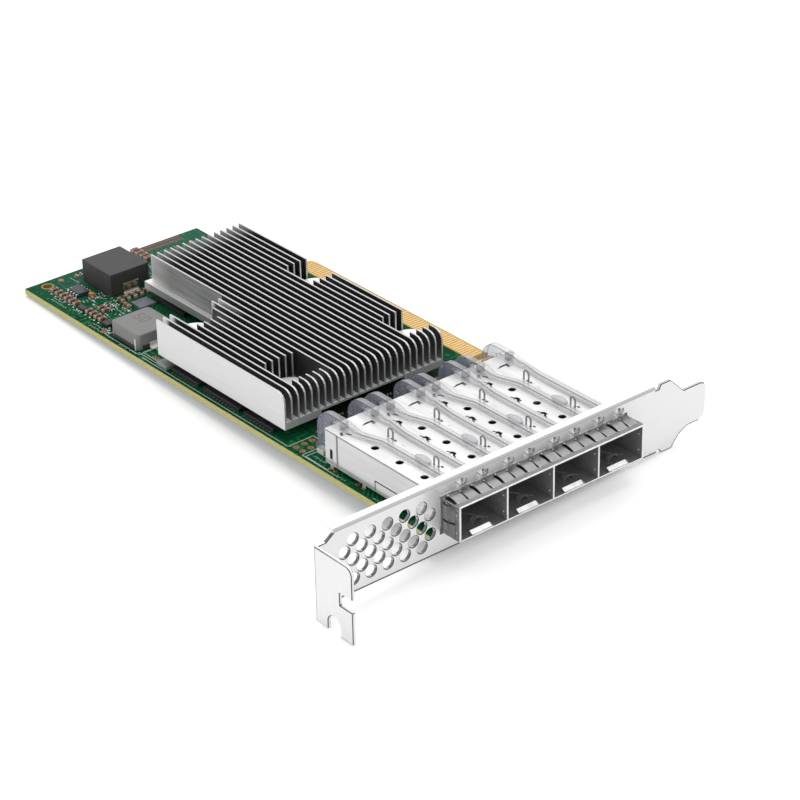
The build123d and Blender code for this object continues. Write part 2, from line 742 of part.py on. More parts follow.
def side_terminals(box, width, height, foot):
    x0, x1, y0, y1 = box
    middle = (y0 + y1) / 2
    near = middle - width / 2
    far = middle + width / 2
    front = block(x1, x1 + TERMINAL_T, near, far, 0, height)
    front += block(x1, x1 + foot, near, far, 0, TERMINAL_T)
    rear = block(x0 - TERMINAL_T, x0, near, far, 0, height)
    rear += block(x0 - foot, x0, near, far, 0, TERMINAL_T)
    return [front, rear]


def grey_inductor():
    body = block(*GREY_INDUCTOR, 0, GREY_INDUCTOR_T)
    return fillet(body.edges().filter_by(Axis.Z), GREY_CORNER)


# Small parts

def leaded_chip():
    x0, x1, y0, y1 = CHIP8_BODY
    return block(x0, x1, y0, y1, CHIP8_LOW, CHIP8_LOW + CHIP8_T)


def gull_lead(x, y, direction):
    # A bent strip: out of the body, down, then flat on the board.
    z = CHIP8_LOW + CHIP8_T / 2
    half = LEAD_WIDTH / 2
    a = y
    b = y + direction * LEAD_REACH * 0.5
    c = y + direction * LEAD_REACH
    section = outline([(a, z), (b, z), (b, 0), (c, 0), (c, LEAD_T),
                       (b + direction * LEAD_T, LEAD_T), (b + direction * LEAD_T, z + LEAD_T),
                       (a, z + LEAD_T)])
    return profile_yz(section, x - half, x + half)


def chip_leads():
    x0, x1, y0, y1 = CHIP8_BODY
    middle = (x0 + x1) / 2
    leads = []
    for n in range(4):
        x = middle + (n - 1.5) * LEAD_PITCH
        leads.append(gull_lead(x, y0, -1))
        leads.append(gull_lead(x, y1, 1))
    return leads


def transistor():
    x0, x1, y0, y1 = SOT_BODY
    return block(x0, x1, y0, y1, 0, CHIP_T)


def transistor_leads():
    x0, x1, y0, y1 = SOT_BODY
    middle = (x0 + x1) / 2
    half = LEAD_WIDTH / 2
    leads = []
    for n in (-1, 0, 1):
        x = middle + n * SOT_LEAD_PITCH
        leads.append(block(x - half, x + half, y0 - 0.6, y0, 0, 0.35))
        if n:
            leads.append(block(x - half, x + half, y1, y1 + 0.6, 0, 0.35))
    return leads


def edge_chips():
    far = EDGE_CHIP_NEAR + EDGE_CHIP_WIDTH
    spots = [spot(centre, length, EDGE_CHIP_NEAR, far) for centre, length in EDGE_CHIPS]
    return [block(*chip, 0, CHIP_T) for chip in spots]


def capacitor(x, y, size, across):
    width, length, height = size
    dx, dy = (length, width) if across else (width, length)
    inset = END_CAP
    cut = (inset, 0) if across else (0, inset)
    x0, x1 = x - dx / 2, x + dx / 2
    y0, y1 = y - dy / 2, y + dy / 2
    body = block(x0 + cut[0], x1 - cut[0], y0 + cut[1], y1 - cut[1], 0, height)
    if across:
        ends = [block(x0, x0 + inset, y0, y1, 0, height), block(x1 - inset, x1, y0, y1, 0, height)]
    else:
        ends = [block(x0, x1, y0, y0 + inset, 0, height), block(x0, x1, y1 - inset, y1, 0, height)]
    return body, ends


def capacitors(places):
    bodies = []
    ends = []
    for centres, size, across in places:
        for x, y in centres:
            body, caps = capacitor(x, y, size, across)
            bodies.append(body)
            ends.extend(caps)
    return bodies, ends


def main():
    os.makedirs("parts", exist_ok=True)
    save("circuit_board", circuit_board())
    save("contacts_top", contacts(0, CONTACT_T))
    save("contacts_bottom", contacts(-BOARD_T - CONTACT_T, -BOARD_T))
    save("tool_hole_plating", tool_hole_plating())
    save("header_hole_rings", header_hole_rings())
    save("header_pads", header_pads())
    save("bracket", bracket())
    save("bracket_screws", bracket_screws())
    save("board_inserts", board_inserts())
    save("heat_sink", heat_sink())
    save("heat_sink_screws", heat_sink_screws())
    save("controller_package", square_plate(PACKAGE_SIZE, 0, PACKAGE_T))
    save("controller_lid", square_plate(LID_SIZE, PACKAGE_T, LID_TOP))
    save("thermal_pad", square_plate(LID_SIZE - 2, LID_TOP, SINK_LOW))
    save("cage_cover", cage_cover())
    save("cage_floor", cage_floor())
    for number in range(1, PORTS):
        save(f"cage_divider_{number}", cage_divider(number))
    save("spring_strip_top", spring_strip_top())
    save("spring_strip_near", spring_strip_side(CAGE_NEAR, -1))
    save("spring_strip_far", spring_strip_side(CAGE_FAR, 1))
    for port in range(PORTS):
        save(f"module_connector_{port + 1}", module_connector(port))
    for number in range(2 * PORTS):
        save(f"light_pipe_{number + 1}", light_pipe(number))
    save("port_lights", port_lights())
    save("black_inductor", black_inductor())
    save("black_inductor_terminals", side_terminals(
        BLACK_INDUCTOR, BLACK_TERMINAL_WIDTH, BLACK_TERMINAL_HEIGHT, TERMINAL_FOOT))
    save("grey_inductor", grey_inductor())
    save("grey_inductor_terminals", side_terminals(
        GREY_INDUCTOR, GREY_TERMINAL_WIDTH, GREY_TERMINAL_HEIGHT, TERMINAL_FOOT))
    save("power_chip", block(*POWER_CHIP, 0, POWER_CHIP_T))
    save("leaded_chip", leaded_chip())
    save("leaded_chip_leads", chip_leads())
    save("transistor", transistor())
    save("transistor_leads", transistor_leads())
    save("edge_chips", edge_chips())
    save("flash_chip", block(*FLASH_CHIP, 0, CHIP_T))
    save("dark_chip", block(*DARK_CHIP, 0, CHIP_T))
    save("crystal", block(*CRYSTAL, 0, CHIP_T))
    small = [(CAP_ROW, SMALL_CAP, False), (CAP_ROW_FRONT, SMALL_CAP, False),
             (CAP_PAIR, SMALL_CAP, False), (CAPS_ACROSS, SMALL_CAP, True)]
    bodies, ends = capacitors(small)
    save("small_capacitors", bodies)
    save("small_capacitor_ends", ends)
    bodies, ends = capacitors([(LARGE_CAPS, LARGE_CAP, False)])
    save("large_capacitors", bodies)
    save("large_capacitor_ends", ends)


main()
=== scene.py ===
import json
import math
import random

import bmesh
import bpy
from mathutils import Matrix, Vector

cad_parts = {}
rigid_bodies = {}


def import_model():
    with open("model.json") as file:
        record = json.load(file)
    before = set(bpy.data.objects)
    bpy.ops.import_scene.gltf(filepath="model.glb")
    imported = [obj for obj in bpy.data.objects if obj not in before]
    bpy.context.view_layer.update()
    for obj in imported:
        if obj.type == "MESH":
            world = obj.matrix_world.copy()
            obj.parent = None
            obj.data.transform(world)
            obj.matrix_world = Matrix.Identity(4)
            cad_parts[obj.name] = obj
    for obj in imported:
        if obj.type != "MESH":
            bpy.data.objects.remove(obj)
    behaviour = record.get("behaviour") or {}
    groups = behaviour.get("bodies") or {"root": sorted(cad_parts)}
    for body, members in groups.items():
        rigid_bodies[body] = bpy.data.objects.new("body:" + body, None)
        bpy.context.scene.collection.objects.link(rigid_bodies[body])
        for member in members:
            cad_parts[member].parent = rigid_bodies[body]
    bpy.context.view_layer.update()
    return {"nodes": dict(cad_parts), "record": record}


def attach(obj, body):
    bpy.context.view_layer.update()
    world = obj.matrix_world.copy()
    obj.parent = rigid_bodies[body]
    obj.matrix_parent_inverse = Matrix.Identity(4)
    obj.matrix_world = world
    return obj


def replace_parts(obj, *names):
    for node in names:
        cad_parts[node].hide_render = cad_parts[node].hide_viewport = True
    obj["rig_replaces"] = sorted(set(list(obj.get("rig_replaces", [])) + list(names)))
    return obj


# Looks of a network card: board art, finned cooler, module cage, light pipes,
# slot bracket and the small parts at the power end. Pieces are sized in
# millimetres in the card's own axes and moved to the frame by CARD. Finishes
# read the frame's millimetres.

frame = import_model()
random.seed(11)

CARD = Matrix.Diagonal((0.001, 0.001, 0.001, 1)) @ Matrix.Translation((78.38, -26.44, 7.80))

CAGE_NEAR = 2.27
CAGE_FAR = 59.57
CAGE_TOP = 10.15
CAGE_FRONT = 6.32
PORT_PITCH = 14.20
PORTS = 4
SHEET_T = 0.86
BRACKET_LOW = -4.29
BRACKET_NEAR = -33.66
FLANGE_FAR = 69.40
PIPE_REARS = (3.35, 12.75)
PIPE_FRONTS = (5.45, 11.85)


def grey(level):
    """A colour without a hue."""
    return (level, level, level)


# Nodes of a finish

class Finish:
    """A material under construction: its tree, its main shader and short links."""

    def __init__(self, name, colour, rough, metal=0.0, coat=0.0):
        self.material = bpy.data.materials.new(name)
        self.material.use_nodes = True
        self.tree = self.material.node_tree
        self.shader = self.tree.nodes["Principled BSDF"]
        self.set("Base Color", (*colour, 1))
        self.set("Roughness", rough)
        self.set("Metallic", metal)
        self.set("Coat Weight", coat)

    def set(self, socket, value):
        """Sets one input of the main shader."""
        self.shader.inputs[socket].default_value = value

    def node(self, kind, **settings):
        """Adds a node with its settings."""
        made = self.tree.nodes.new(kind)
        for key, value in settings.items():
            setattr(made, key, value)
        return made

    def link(self, source, target):
        self.tree.links.new(source, target)

    def place(self, scale=(1, 1, 1)):
        """Object coordinates in millimetres, stretched."""
        coords = self.node("ShaderNodeTexCoord")
        mapping = self.node("ShaderNodeMapping")
        mapping.inputs["Scale"].default_value = [1000 * s for s in scale]
        self.link(coords.outputs["Object"], mapping.inputs["Vector"])
        return mapping.outputs["Vector"]

    def noise(self, vector, scale, detail=3.0, rough=0.5):
        """Soft random tone; a larger scale makes it finer."""
        made = self.node("ShaderNodeTexNoise")
        made.inputs["Scale"].default_value = scale
        made.inputs["Detail"].default_value = detail
        made.inputs["Roughness"].default_value = rough
        self.link(vector, made.inputs["Vector"])
        return made.outputs["Fac"]

    def ramp(self, value, low, high, start=0.0, end=1.0):
        """Maps low..high of a value to start..end, clamped."""
        made = self.node("ShaderNodeMapRange")
        made.inputs["From Min"].default_value = low
        made.inputs["From Max"].default_value = high
        made.inputs["To Min"].default_value = start
        made.inputs["To Max"].default_value = end
        self.link(value, made.inputs["Value"])
        return made.outputs["Result"]

    def maths(self, operation, first, second=None, third=None):
        """One sum of up to three values, each a number or a socket."""
        made = self.node("ShaderNodeMath", operation=operation)
        for index, value in enumerate((first, second, third)):
            if value is None:
                continue
            if isinstance(value, (int, float)):
                made.inputs[index].default_value = value
            else:
                self.link(value, made.inputs[index])
        return made.outputs[0]

    def times(self, *values):
        """The product of several values."""
        product = values[0]
        for value in values[1:]:
            product = self.maths("MULTIPLY", product, value)
        return product

    def without(self, value):
        """One less a value between 0 and 1."""
        return self.maths("SUBTRACT", 1.0, value)

    def blend(self, factor, first, second):
        """Mixes two colours, each a tuple or a socket; the sockets 6, 7 and 2 are colours."""
        made = self.node("ShaderNodeMix", data_type="RGBA")
        self.link(factor, made.inputs[0])
        for index, value in ((6, first), (7, second)):
            if isinstance(value, tuple):
                made.inputs[index].default_value = (*value, 1)
            else:
                self.link(value, made.inputs[index])
        return made.outputs[2]

    def axes(self, vector=None):
        """X, Y and Z of a vector, or of the point in the frame's millimetres."""
        made = self.node("ShaderNodeSeparateXYZ")
        self.link(self.place() if vector is None else vector, made.inputs[0])
        return made.outputs

    def normal(self):
        """X, Y and Z of the surface's direction."""
        return self.axes(self.node("ShaderNodeNewGeometry").outputs["Normal"])

    def bump(self, height, strength, distance=0.00005):
        """Small relief; the distance is in metres."""
        made = self.node("ShaderNodeBump")
        made.inputs["Strength"].default_value = strength
        made.inputs["Distance"].default_value = distance
        self.link(height, made.inputs["Height"])
        self.link(made.outputs["Normal"], self.shader.inputs["Normal"])

    def colour(self, socket):
        self.link(socket, self.shader.inputs["Base Color"])

    def roughness(self, socket):
        self.link(socket, self.shader.inputs["Roughness"])


def brushed_metal(name, colour, rough, along=(0.02, 1.5, 1.5), tone=0.06, metal=1.0, relief=0.12):
    """Metal with a fine directional grain and slight patches of tone."""
    finish = Finish(name, colour, rough, metal)
    grain = finish.noise(finish.place(along), 2.0, 4.0)
    patches = finish.noise(finish.place(), 0.12, 2.0)
    mixed = finish.maths("MULTIPLY_ADD", patches, 0.5, grain)
    factor = finish.ramp(mixed, 0.5, 1.0)
    dark = tuple(c * (1 - tone) for c in colour)
    light = tuple(min(1.0, c * (1 + tone)) for c in colour)
    finish.colour(finish.blend(factor, dark, light))
    finish.roughness(finish.ramp(grain, 0.3, 0.7, rough * 0.85, rough * 1.2))
    finish.bump(grain, relief, 0.00002)
    return finish


def moulded(name, colour, rough, speck=0.12, coat=0.0):
    """Moulded body: fine pits, faint speckle and dust-soft gloss."""
    finish = Finish(name, colour, rough, 0.0, coat)
    fine = finish.noise(finish.place(), 9.0, 5.0, 0.6)
    broad = finish.noise(finish.place(), 0.35, 2.0)
    mixed = finish.maths("MULTIPLY_ADD", broad, 0.6, fine)
    factor = finish.ramp(mixed, 0.6, 1.05)
    dark = tuple(c * (1 - speck) for c in colour)
    light = tuple(min(1.0, c * (1 + speck) + 0.004) for c in colour)
    finish.colour(finish.blend(factor, dark, light))
    finish.roughness(finish.ramp(broad, 0.3, 0.7, rough * 0.9, rough * 1.1))
    finish.bump(fine, 0.25, 0.00003)
    return finish


def solder_mask():
    """Green mask over routed copper, with tan laminate on the board's edges."""
    finish = Finish("solder_mask", (0.010, 0.100, 0.045), 0.5)
    finish.set("IOR", 1.08)
    # Rings round scattered points make the runs of traces, square and chamfered.
    lines = []
    turns_per_cell = 0.6325
    for metric, scale, seed in (("MANHATTAN", 0.085, 0.0), ("CHEBYCHEV", 0.13, 7.0)):
        cells = finish.node("ShaderNodeTexVoronoi", distance=metric, feature="F1")
        cells.inputs["Scale"].default_value = scale
        cells.inputs["Randomness"].default_value = 0.9
        shifted = finish.node("ShaderNodeVectorMath", operation="ADD")
        shifted.inputs[1].default_value = (seed, seed * 2, 0)
        flat = finish.node("ShaderNodeVectorMath", operation="MULTIPLY")
        flat.inputs[1].default_value = (1, 1, 0)
        finish.link(finish.place(), flat.inputs[0])
        finish.link(flat.outputs[0], shifted.inputs[0])
        finish.link(shifted.outputs[0], cells.inputs["Vector"])
        rings = finish.times(cells.outputs["Distance"], 6.2832 * turns_per_cell / scale)
        lines.append(finish.ramp(finish.maths("SINE", rings), 0.35, 0.6))
    patch = finish.ramp(finish.noise(finish.place((1, 1, 0)), 0.11, 1.0), 0.46, 0.54)
    quiet = finish.ramp(finish.noise(finish.place((1, 1, 0.001)), 0.07, 2.0), 0.42, 0.50)
    routed = finish.node("ShaderNodeMix", data_type="FLOAT")
    finish.link(patch, routed.inputs[0])
    finish.link(lines[0], routed.inputs[2])
    finish.link(lines[1], routed.inputs[3])
    traces = finish.times(routed.outputs[0], quiet)
    tone = finish.ramp(finish.noise(finish.place(), 0.05, 2.0), 0.35, 0.65)
    ground = finish.blend(tone, (0.0018, 0.044, 0.015), (0.004, 0.068, 0.024))
    green = finish.blend(traces, ground, (0.014, 0.135, 0.060))
    x, y, _ = finish.axes()
    # Painted glare makes it paler towards the rear corner; painted shadow makes it nearly black
    # between the cooler and the cage.
    painted_glare = finish.times(finish.ramp(x, -66.0, -82.0), finish.ramp(y, -24.0, -2.0, 0.25, 1.0))
    green = finish.blend(finish.times(painted_glare, 0.5), green, (0.055, 0.165, 0.120))
    shade = finish.times(finish.ramp(x, 12.0, 14.5), finish.ramp(x, 30.5, 26.0),
                         finish.ramp(y, -20.0, -13.0), finish.ramp(y, 34.0, 30.0))
    green = finish.blend(finish.times(shade, 0.80), green, (0.008, 0.016, 0.010))
    # Bare laminate shows between the gold contacts.
    tab = finish.times(finish.ramp(y, 36.1, 36.3), finish.ramp(x, 69.0, 68.6))
    green = finish.blend(tab, green, (0.50, 0.30, 0.09))
    upright = finish.ramp(finish.maths("ABSOLUTE", finish.normal()[2]), 0.5, 0.6)
    laminate_noise = finish.noise(finish.place((0.4, 0.4, 6)), 1.5, 4.0)
    laminate = finish.blend(finish.ramp(laminate_noise, 0.35, 0.65),
                            (0.44, 0.40, 0.15), (0.64, 0.58, 0.28))
    finish.colour(finish.blend(upright, laminate, green))
    finish.bump(finish.times(traces, upright), 0.35, 0.00004)
    return finish


def sink_aluminium():
    """Milled aluminium with grain along the fins, a painted highlight on the fin tops and painted
    shade in the gaps between them.
    """
    finish = Finish("sink_aluminium", grey(0.62), 0.36, 0.40)
    block_front, ledge_far, fin_top_z, base_top_z = -32.2, -2.5, 17.25, 12.5
    finish.set("Specular IOR Level", 0.12)
    grain = finish.noise(finish.place((0.03, 2.2, 2.2)), 2.4, 4.0)
    streak = finish.noise(finish.place((0.05, 1.0, 1.3)), 1.1, 3.0)
    flank = finish.noise(finish.place((1.6, 1.0, 0.05)), 1.6, 4.0)
    x, y, z = finish.axes()
    nx, ny, nz = finish.normal()
    side = finish.ramp(finish.maths("ABSOLUTE", ny), 0.5, 0.7)
    # Past the nearest flank of the wide front part and of the narrow rear part, a flank lies in a
    # gap between two fins and gets painted shade.
    rear = finish.ramp(x, block_front - 0.1, block_front + 0.1, 1.0, 0.0)
    past_near = finish.ramp(y, -23.3, -23.2)
    past_rear_near = finish.ramp(y, ledge_far - 0.1, ledge_far)
    inside = finish.node("ShaderNodeMix", data_type="FLOAT")
    finish.link(rear, inside.inputs[0])
    finish.link(past_near, inside.inputs[2])
    finish.link(past_rear_near, inside.inputs[3])
    far_flank = finish.times(finish.ramp(y, 25.65, 25.71), finish.ramp(ny, 0.5, 0.7))
    # Fin flanks that stand free of a neighbour are spared the painted shade at their rear tips.
    tip = finish.times(finish.ramp(x, -29.2, -30.6), finish.ramp(y, -5.2, -5.5),
                       finish.ramp(z, 15.5, 19.0))
    free = finish.times(finish.ramp(x, -20.0, -26.5), finish.ramp(y, -6.4, -6.2),
                        finish.ramp(y, -5.0, -5.4))
    bright = finish.maths("MAXIMUM", tip, free)
    painted_shade = finish.times(side, inside.outputs[0], finish.without(far_flank), finish.without(bright))
    tone = finish.ramp(grain, 0.3, 0.7)
    body = finish.blend(tone, grey(0.74), grey(0.80))
    # Painted shade on the sides of the narrow rear part, over their streaks, lifting towards the
    # rear.
    block_face = finish.times(side, rear)
    block_shade = finish.blend(finish.ramp(streak, 0.3, 0.7), grey(0.24), grey(0.46))
    block_shade = finish.blend(finish.ramp(x, -55.0, -66.0), block_shade, grey(0.78))
    body = finish.blend(block_face, body, block_shade)
    # A painted highlight along the rear end.
    rear_highlight = finish.ramp(x, -62.6, -63.4)
    body = finish.blend(rear_highlight, body, grey(0.80))
    # Painted shade on the faces that look forward.
    front = finish.ramp(nx, 0.6, 0.8)
    body = finish.blend(front, body, finish.blend(tone, grey(0.40), grey(0.60)))
    # A painted highlight on the fin tops; lower faces that look up stay a darker grey.
    edge = finish.ramp(nz, 0.6, 0.8)
    fin_top = finish.ramp(z, fin_top_z - 0.25, fin_top_z + 0.25)
    body = finish.blend(edge, body, finish.blend(fin_top, grey(0.93), grey(0.62)))
    # Painted shade on the ledge of the base, strongest towards the front.
    ledge_shade = finish.times(rear, finish.ramp(y, ledge_far + 0.2, ledge_far - 0.1),
                         finish.ramp(z, base_top_z + 0.5, base_top_z - 0.5),
                         finish.ramp(x, -64.5, -58.0, 0.1, 0.85))
    body = finish.blend(ledge_shade, body, grey(0.38))
    # Painted shade fills the gaps between the fins and lifts towards their open ends.
    open_end = finish.times(finish.ramp(x, 12.5, 20.0), finish.ramp(z, 19.5, base_top_z))
    gap = finish.blend(finish.ramp(flank, 0.3, 0.7), grey(0.038), (0.070, 0.070, 0.071))
    gap = finish.blend(finish.times(open_end, 0.40), gap, grey(0.42))
    rear_end = finish.times(finish.ramp(x, -56.0, -63.6), finish.ramp(z, 12.0, 18.0))
    gap = finish.blend(finish.times(rear_end, 0.85), gap, grey(0.62))
    finish.colour(finish.blend(painted_shade, body, gap))
    finish.roughness(finish.ramp(grain, 0.3, 0.7, 0.28, 0.44))
    finish.bump(grain, 0.12, 0.00002)
    return finish


def bracket_steel():
    """Plated sheet, with a line of painted shade on its fold along the screw tab."""
    finish = Finish("bracket_steel", grey(0.93), 0.30, 0.40)
    grain = finish.ramp(finish.noise(finish.place((0.7, 0.03, 0.03)), 2.0, 4.0), 0.3, 0.7)
    sheet = finish.blend(grain, grey(0.92), grey(0.94))
    x, y, _ = finish.axes()
    # Painted shade on the fold.
    fold = finish.times(finish.ramp(x, 78.15, 77.85), finish.ramp(y, -60.04, -60.08))
    finish.colour(finish.blend(fold, sheet, grey(0.30)))
    finish.roughness(finish.ramp(grain, 0.0, 1.0, 0.29, 0.32))
    return finish


def cage_metal():
    """Bright tinned sheet with soft streaks, near white where it faces up, with painted shade on
    its side walls.
    """
    finish = Finish("cage_metal", grey(0.90), 0.16, 0.5)
    grain = finish.noise(finish.place((0.05, 0.7, 0.7)), 0.9, 3.0)
    soft = finish.noise(finish.place((0.2, 1, 1)), 0.30, 2.0)
    tone = finish.ramp(finish.maths("MULTIPLY_ADD", soft, 0.7, grain), 0.62, 0.95)
    # Painted shade on the faces that look sideways.
    side = finish.ramp(finish.maths("ABSOLUTE", finish.normal()[1]), 0.5, 0.8)
    sheet = finish.blend(tone, grey(0.80), grey(0.93))
    finish.colour(finish.blend(finish.times(side, 0.55), sheet, grey(0.55)))
    finish.roughness(finish.ramp(tone, 0.0, 1.0, 0.12, 0.20))
    finish.bump(soft, 0.15, 0.00004)
    return finish


def clear_plastic(name, top, side, least, most, pale=0.0):
    """Clear moulding: a painted highlight where it faces up, painted shade down its sides and
    towards its rims.
    """
    finish = Finish(name, side, 0.06)
    facing = finish.node("ShaderNodeLayerWeight")
    facing.inputs["Blend"].default_value = 0.4
    rim = finish.ramp(facing.outputs["Facing"], 0.45, 0.90)
    flow = finish.noise(finish.place((0.05, 0.5, 0.5)), 0.5, 2.0)
    # Painted highlight on faces that look up, painted shade on the sides and, by the facing weight,
    # at the rims.
    upward = finish.ramp(finish.normal()[2], 0.3, 0.9)
    body = finish.blend(upward, side, top)
    # Over the cage it turns paler and clearer.
    over_cage = finish.ramp(finish.axes()[0], 35.0, 39.5)
    body = finish.blend(finish.times(over_cage, pale), body, (0.66, 0.66, 0.67))
    painted_shade = tuple(c * 0.55 for c in side)
    finish.colour(finish.blend(finish.times(rim, 0.8), body, painted_shade))
    thick = finish.maths("MAXIMUM", rim, finish.ramp(flow, 0.35, 0.65, 0.0, 0.25))
    alpha = finish.ramp(thick, 0.0, 1.0, least, most)
    thin = finish.without(finish.times(over_cage, pale * 0.3))
    finish.link(finish.times(alpha, thin), finish.shader.inputs["Alpha"])
    finish.roughness(finish.ramp(flow, 0.3, 0.7, 0.04, 0.10))
    return finish


def gold_plate():
    """Plated contacts: warm gold with wiping marks along each finger."""
    finish = Finish("gold", (0.93, 0.66, 0.27), 0.34, 0.35)
    wipe = finish.noise(finish.place((3.0, 0.15, 1)), 1.4, 3.0)
    finish.colour(finish.blend(finish.ramp(wipe, 0.3, 0.7), (0.78, 0.49, 0.15), (0.88, 0.63, 0.27)))
    finish.roughness(finish.ramp(wipe, 0.3, 0.7, 0.22, 0.38))
    finish.bump(wipe, 0.15, 0.00002)
    return finish


EVEN = (1, 1, 1)
# Colour, roughness, grain, tone, metal and relief
BRUSHED = {
    "brass_ring": ((0.34, 0.23, 0.06), 0.45, EVEN, 0.2, 0.4),
    "copper": ((0.42, 0.15, 0.075), 0.45, EVEN, 0.2, 0.3),
    "screw_steel": ((0.62, 0.62, 0.63), 0.30, EVEN, 0.1),
    "lid_metal": ((0.55, 0.55, 0.56), 0.35, (1, 0.05, 1)),
    "spring_metal": (grey(0.22), 0.30, (0.3, 0.6, 0.6), 0.15, 0.75),
    "tin": ((0.80, 0.78, 0.74), 0.32, EVEN, 0.12, 0.5),
    "dull_tin": ((0.10, 0.10, 0.095), 0.45, EVEN, 0.2, 0.3),
    "mirror_tin": ((0.62, 0.60, 0.55), 0.20, EVEN, 0.12, 1.0, 0.05),
    # Painted shade inside the ports.
    "cage_inside": ((0.26, 0.26, 0.262), 0.35, (0.2, 0.5, 0.5), 0.15, 0.3),
    "bend_shade": (grey(0.57), 0.5, (1.4, 0.03, 1.4), 0.03, 0.1, 0.01),
    # Painted shade along broken edges and on the latch hoods; dark seams.
    "sheared_edge": (grey(0.24), 0.5, EVEN, 0.15, 0.1),
    "crystal_can": ((0.26, 0.29, 0.28), 0.35, (1, 0.1, 1), 0.25, 0.3),
    # Painted shade on the bracket's hole walls.
    "hole_wall": (grey(0.20), 0.25, grey(0.5), 0.5, 0.5),
    # Painted shade for the dark rims round the bracket's holes and along its lower edge; also the
    # port signs.
    "rim_dark": (grey(0.085), 0.45, EVEN, 0.2, 0.1),
    "lit_edge": (grey(0.60), 0.45, EVEN, 0.05, 0.2),
}
# Colour, roughness, speckle and coat
MOULDED = {
    "package_green": ((0.012, 0.03, 0.02), 0.5),
    "soft_pad": ((0.38, 0.38, 0.39), 0.8),
    "light_white": ((0.80, 0.78, 0.72), 0.25, 0.04, 0.4),
    "black_ferrite": (grey(0.033), 0.55, 0.2),
    "grey_ferrite": ((0.205, 0.205, 0.202), 0.5, 0.10),
    "grey_chip": ((0.16, 0.155, 0.19), 0.4, 0.3),
    "black_chip": ((0.018, 0.018, 0.022), 0.42, 0.2),
    "capacitor_brown": ((0.17, 0.072, 0.045), 0.45, 0.2),
    "connector_black": (grey(0.012), 0.45, 0.2),
    # Dark openings of the cage and plates of painted shade.
    "slit_dark": (grey(0.02), 0.6, 0.1),
    "pad_brown": ((0.13, 0.046, 0.030), 0.45, 0.2),
    "chip_blue": ((0.034, 0.034, 0.055), 0.40, 0.2),
    "bend_dark": (grey(0.12), 0.6, 0.1),
    "silk_white": ((0.60, 0.68, 0.63), 0.6, 0.06),
    "mask_light": ((0.05, 0.22, 0.12), 0.35, 0.1),
    "end_beige": ((0.46, 0.34, 0.28), 0.4, 0.15),
    "amber": ((0.46, 0.20, 0.06), 0.4, 0.2),
}
# Colours of the painted highlight on top and the painted shade on the sides, cover at the middle
# and at the rim, and how much paler and clearer over the cage
CLEAR = {
    "clear_plastic": ((0.86, 0.865, 0.93), (0.42, 0.42, 0.52), 0.34, 0.62, 0.8),
    # Painted shade along the rods' rounded edges and on the clips.
    "pipe_edge": ((0.24, 0.242, 0.25), (0.16, 0.162, 0.17), 0.60, 0.78),
    "pipe_haze": ((0.62, 0.62, 0.64), (0.26, 0.26, 0.28), 0.42, 0.78),
}
FINISHES = {"solder_mask": solder_mask(), "gold": gold_plate(), "bracket_steel": bracket_steel(),
            "sink_aluminium": sink_aluminium(), "cage_metal": cage_metal()}
for make, table in ((brushed_metal, BRUSHED), (moulded, MOULDED), (clear_plastic, CLEAR)):
    for look, settings in table.items():
        FINISHES[look] = make(look, *settings)


# Making pieces


def add_piece(name, mesh, slot, replaced=()):
    """Turns a bmesh in card millimetres into a piece that rides on the card."""
    bmesh.ops.transform(mesh, matrix=CARD, verts=mesh.verts)
    return add_metre_piece(name, mesh, slot, replaced)


def add_metre_piece(name, mesh, slot, replaced=()):
    """Turns a bmesh that is in the frame's metres into a piece."""
    data = bpy.data.meshes.new(name)
    mesh.to_mesh(data)
    mesh.free()
    data.materials.append(FINISHES[slot].material)
    piece = bpy.data.objects.new(name, data)
    bpy.context.scene.collection.objects.link(piece)
    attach(piece, "root")
    if replaced:
        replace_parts(piece, *replaced)
    return piece


def at(x, y, z):
    """A shift to a place."""
    return Matrix.Translation((x, y, z))


def rotated(degrees, axis):
    """A turn round an axis."""
    return Matrix.Rotation(math.radians(degrees), 4, axis)


def add_bar(mesh, place, *size):
    """Adds a box of a size, put in its place and turned by a matrix."""
    bmesh.ops.create_cube(mesh, size=1.0, matrix=place @ Matrix.Diagonal((*size, 1)))


def add_block(mesh, x0, x1, y0, y1, z0, z1):
    """Adds a box between two corners."""
    centre = at((x0 + x1) / 2, (y0 + y1) / 2, (z0 + z1) / 2)
    add_bar(mesh, centre, x1 - x0, y1 - y0, z1 - z0)


def add_blocks(name, slot, *blocks, bevel=0.0, segments=2, replaced=()):
    """A piece made of boxes between corners, with its edges broken."""
    mesh = bmesh.new()
    for block in blocks:
        add_block(mesh, *block)
    if bevel:
        bevel_sharp(mesh, bevel, segments)
    add_piece(name, mesh, slot, replaced)


def add_dot(mesh, x, y, z, radius):
    """Adds a small ball."""
    bmesh.ops.create_uvsphere(mesh, u_segments=10, v_segments=6, radius=radius, matrix=at(x, y, z))


def only_verts(geometry):
    return [item for item in geometry if isinstance(item, bmesh.types.BMVert)]


def only_faces(geometry):
    return [item for item in geometry if isinstance(item, bmesh.types.BMFace)]


def bevel_sharp(mesh, width, segments=2, angle=30, clamp=True, where=None):
    """Breaks the edges that turn by more than an angle; returns the new faces."""
    edges = [e for e in mesh.edges if len(e.link_faces) == 2
             and e.calc_face_angle(0) > math.radians(angle)
             and (where is None or all(where(v.co) for v in e.verts))]
    return bmesh.ops.bevel(mesh, geom=edges, offset=width, offset_type="OFFSET",
                           segments=segments, profile=0.5, affect="EDGES",
                           clamp_overlap=clamp, material=-1)["faces"]


def copy_node(node):
    """A bmesh of a CAD node, with its corners joined and its flats made whole."""
    mesh = bmesh.new()
    mesh.from_mesh(frame["nodes"][node].data)
    bmesh.ops.remove_doubles(mesh, verts=mesh.verts, dist=0.000002)
    bmesh.ops.dissolve_limit(mesh, angle_limit=math.radians(1.0), verts=mesh.verts,
                             edges=mesh.edges)
    return mesh


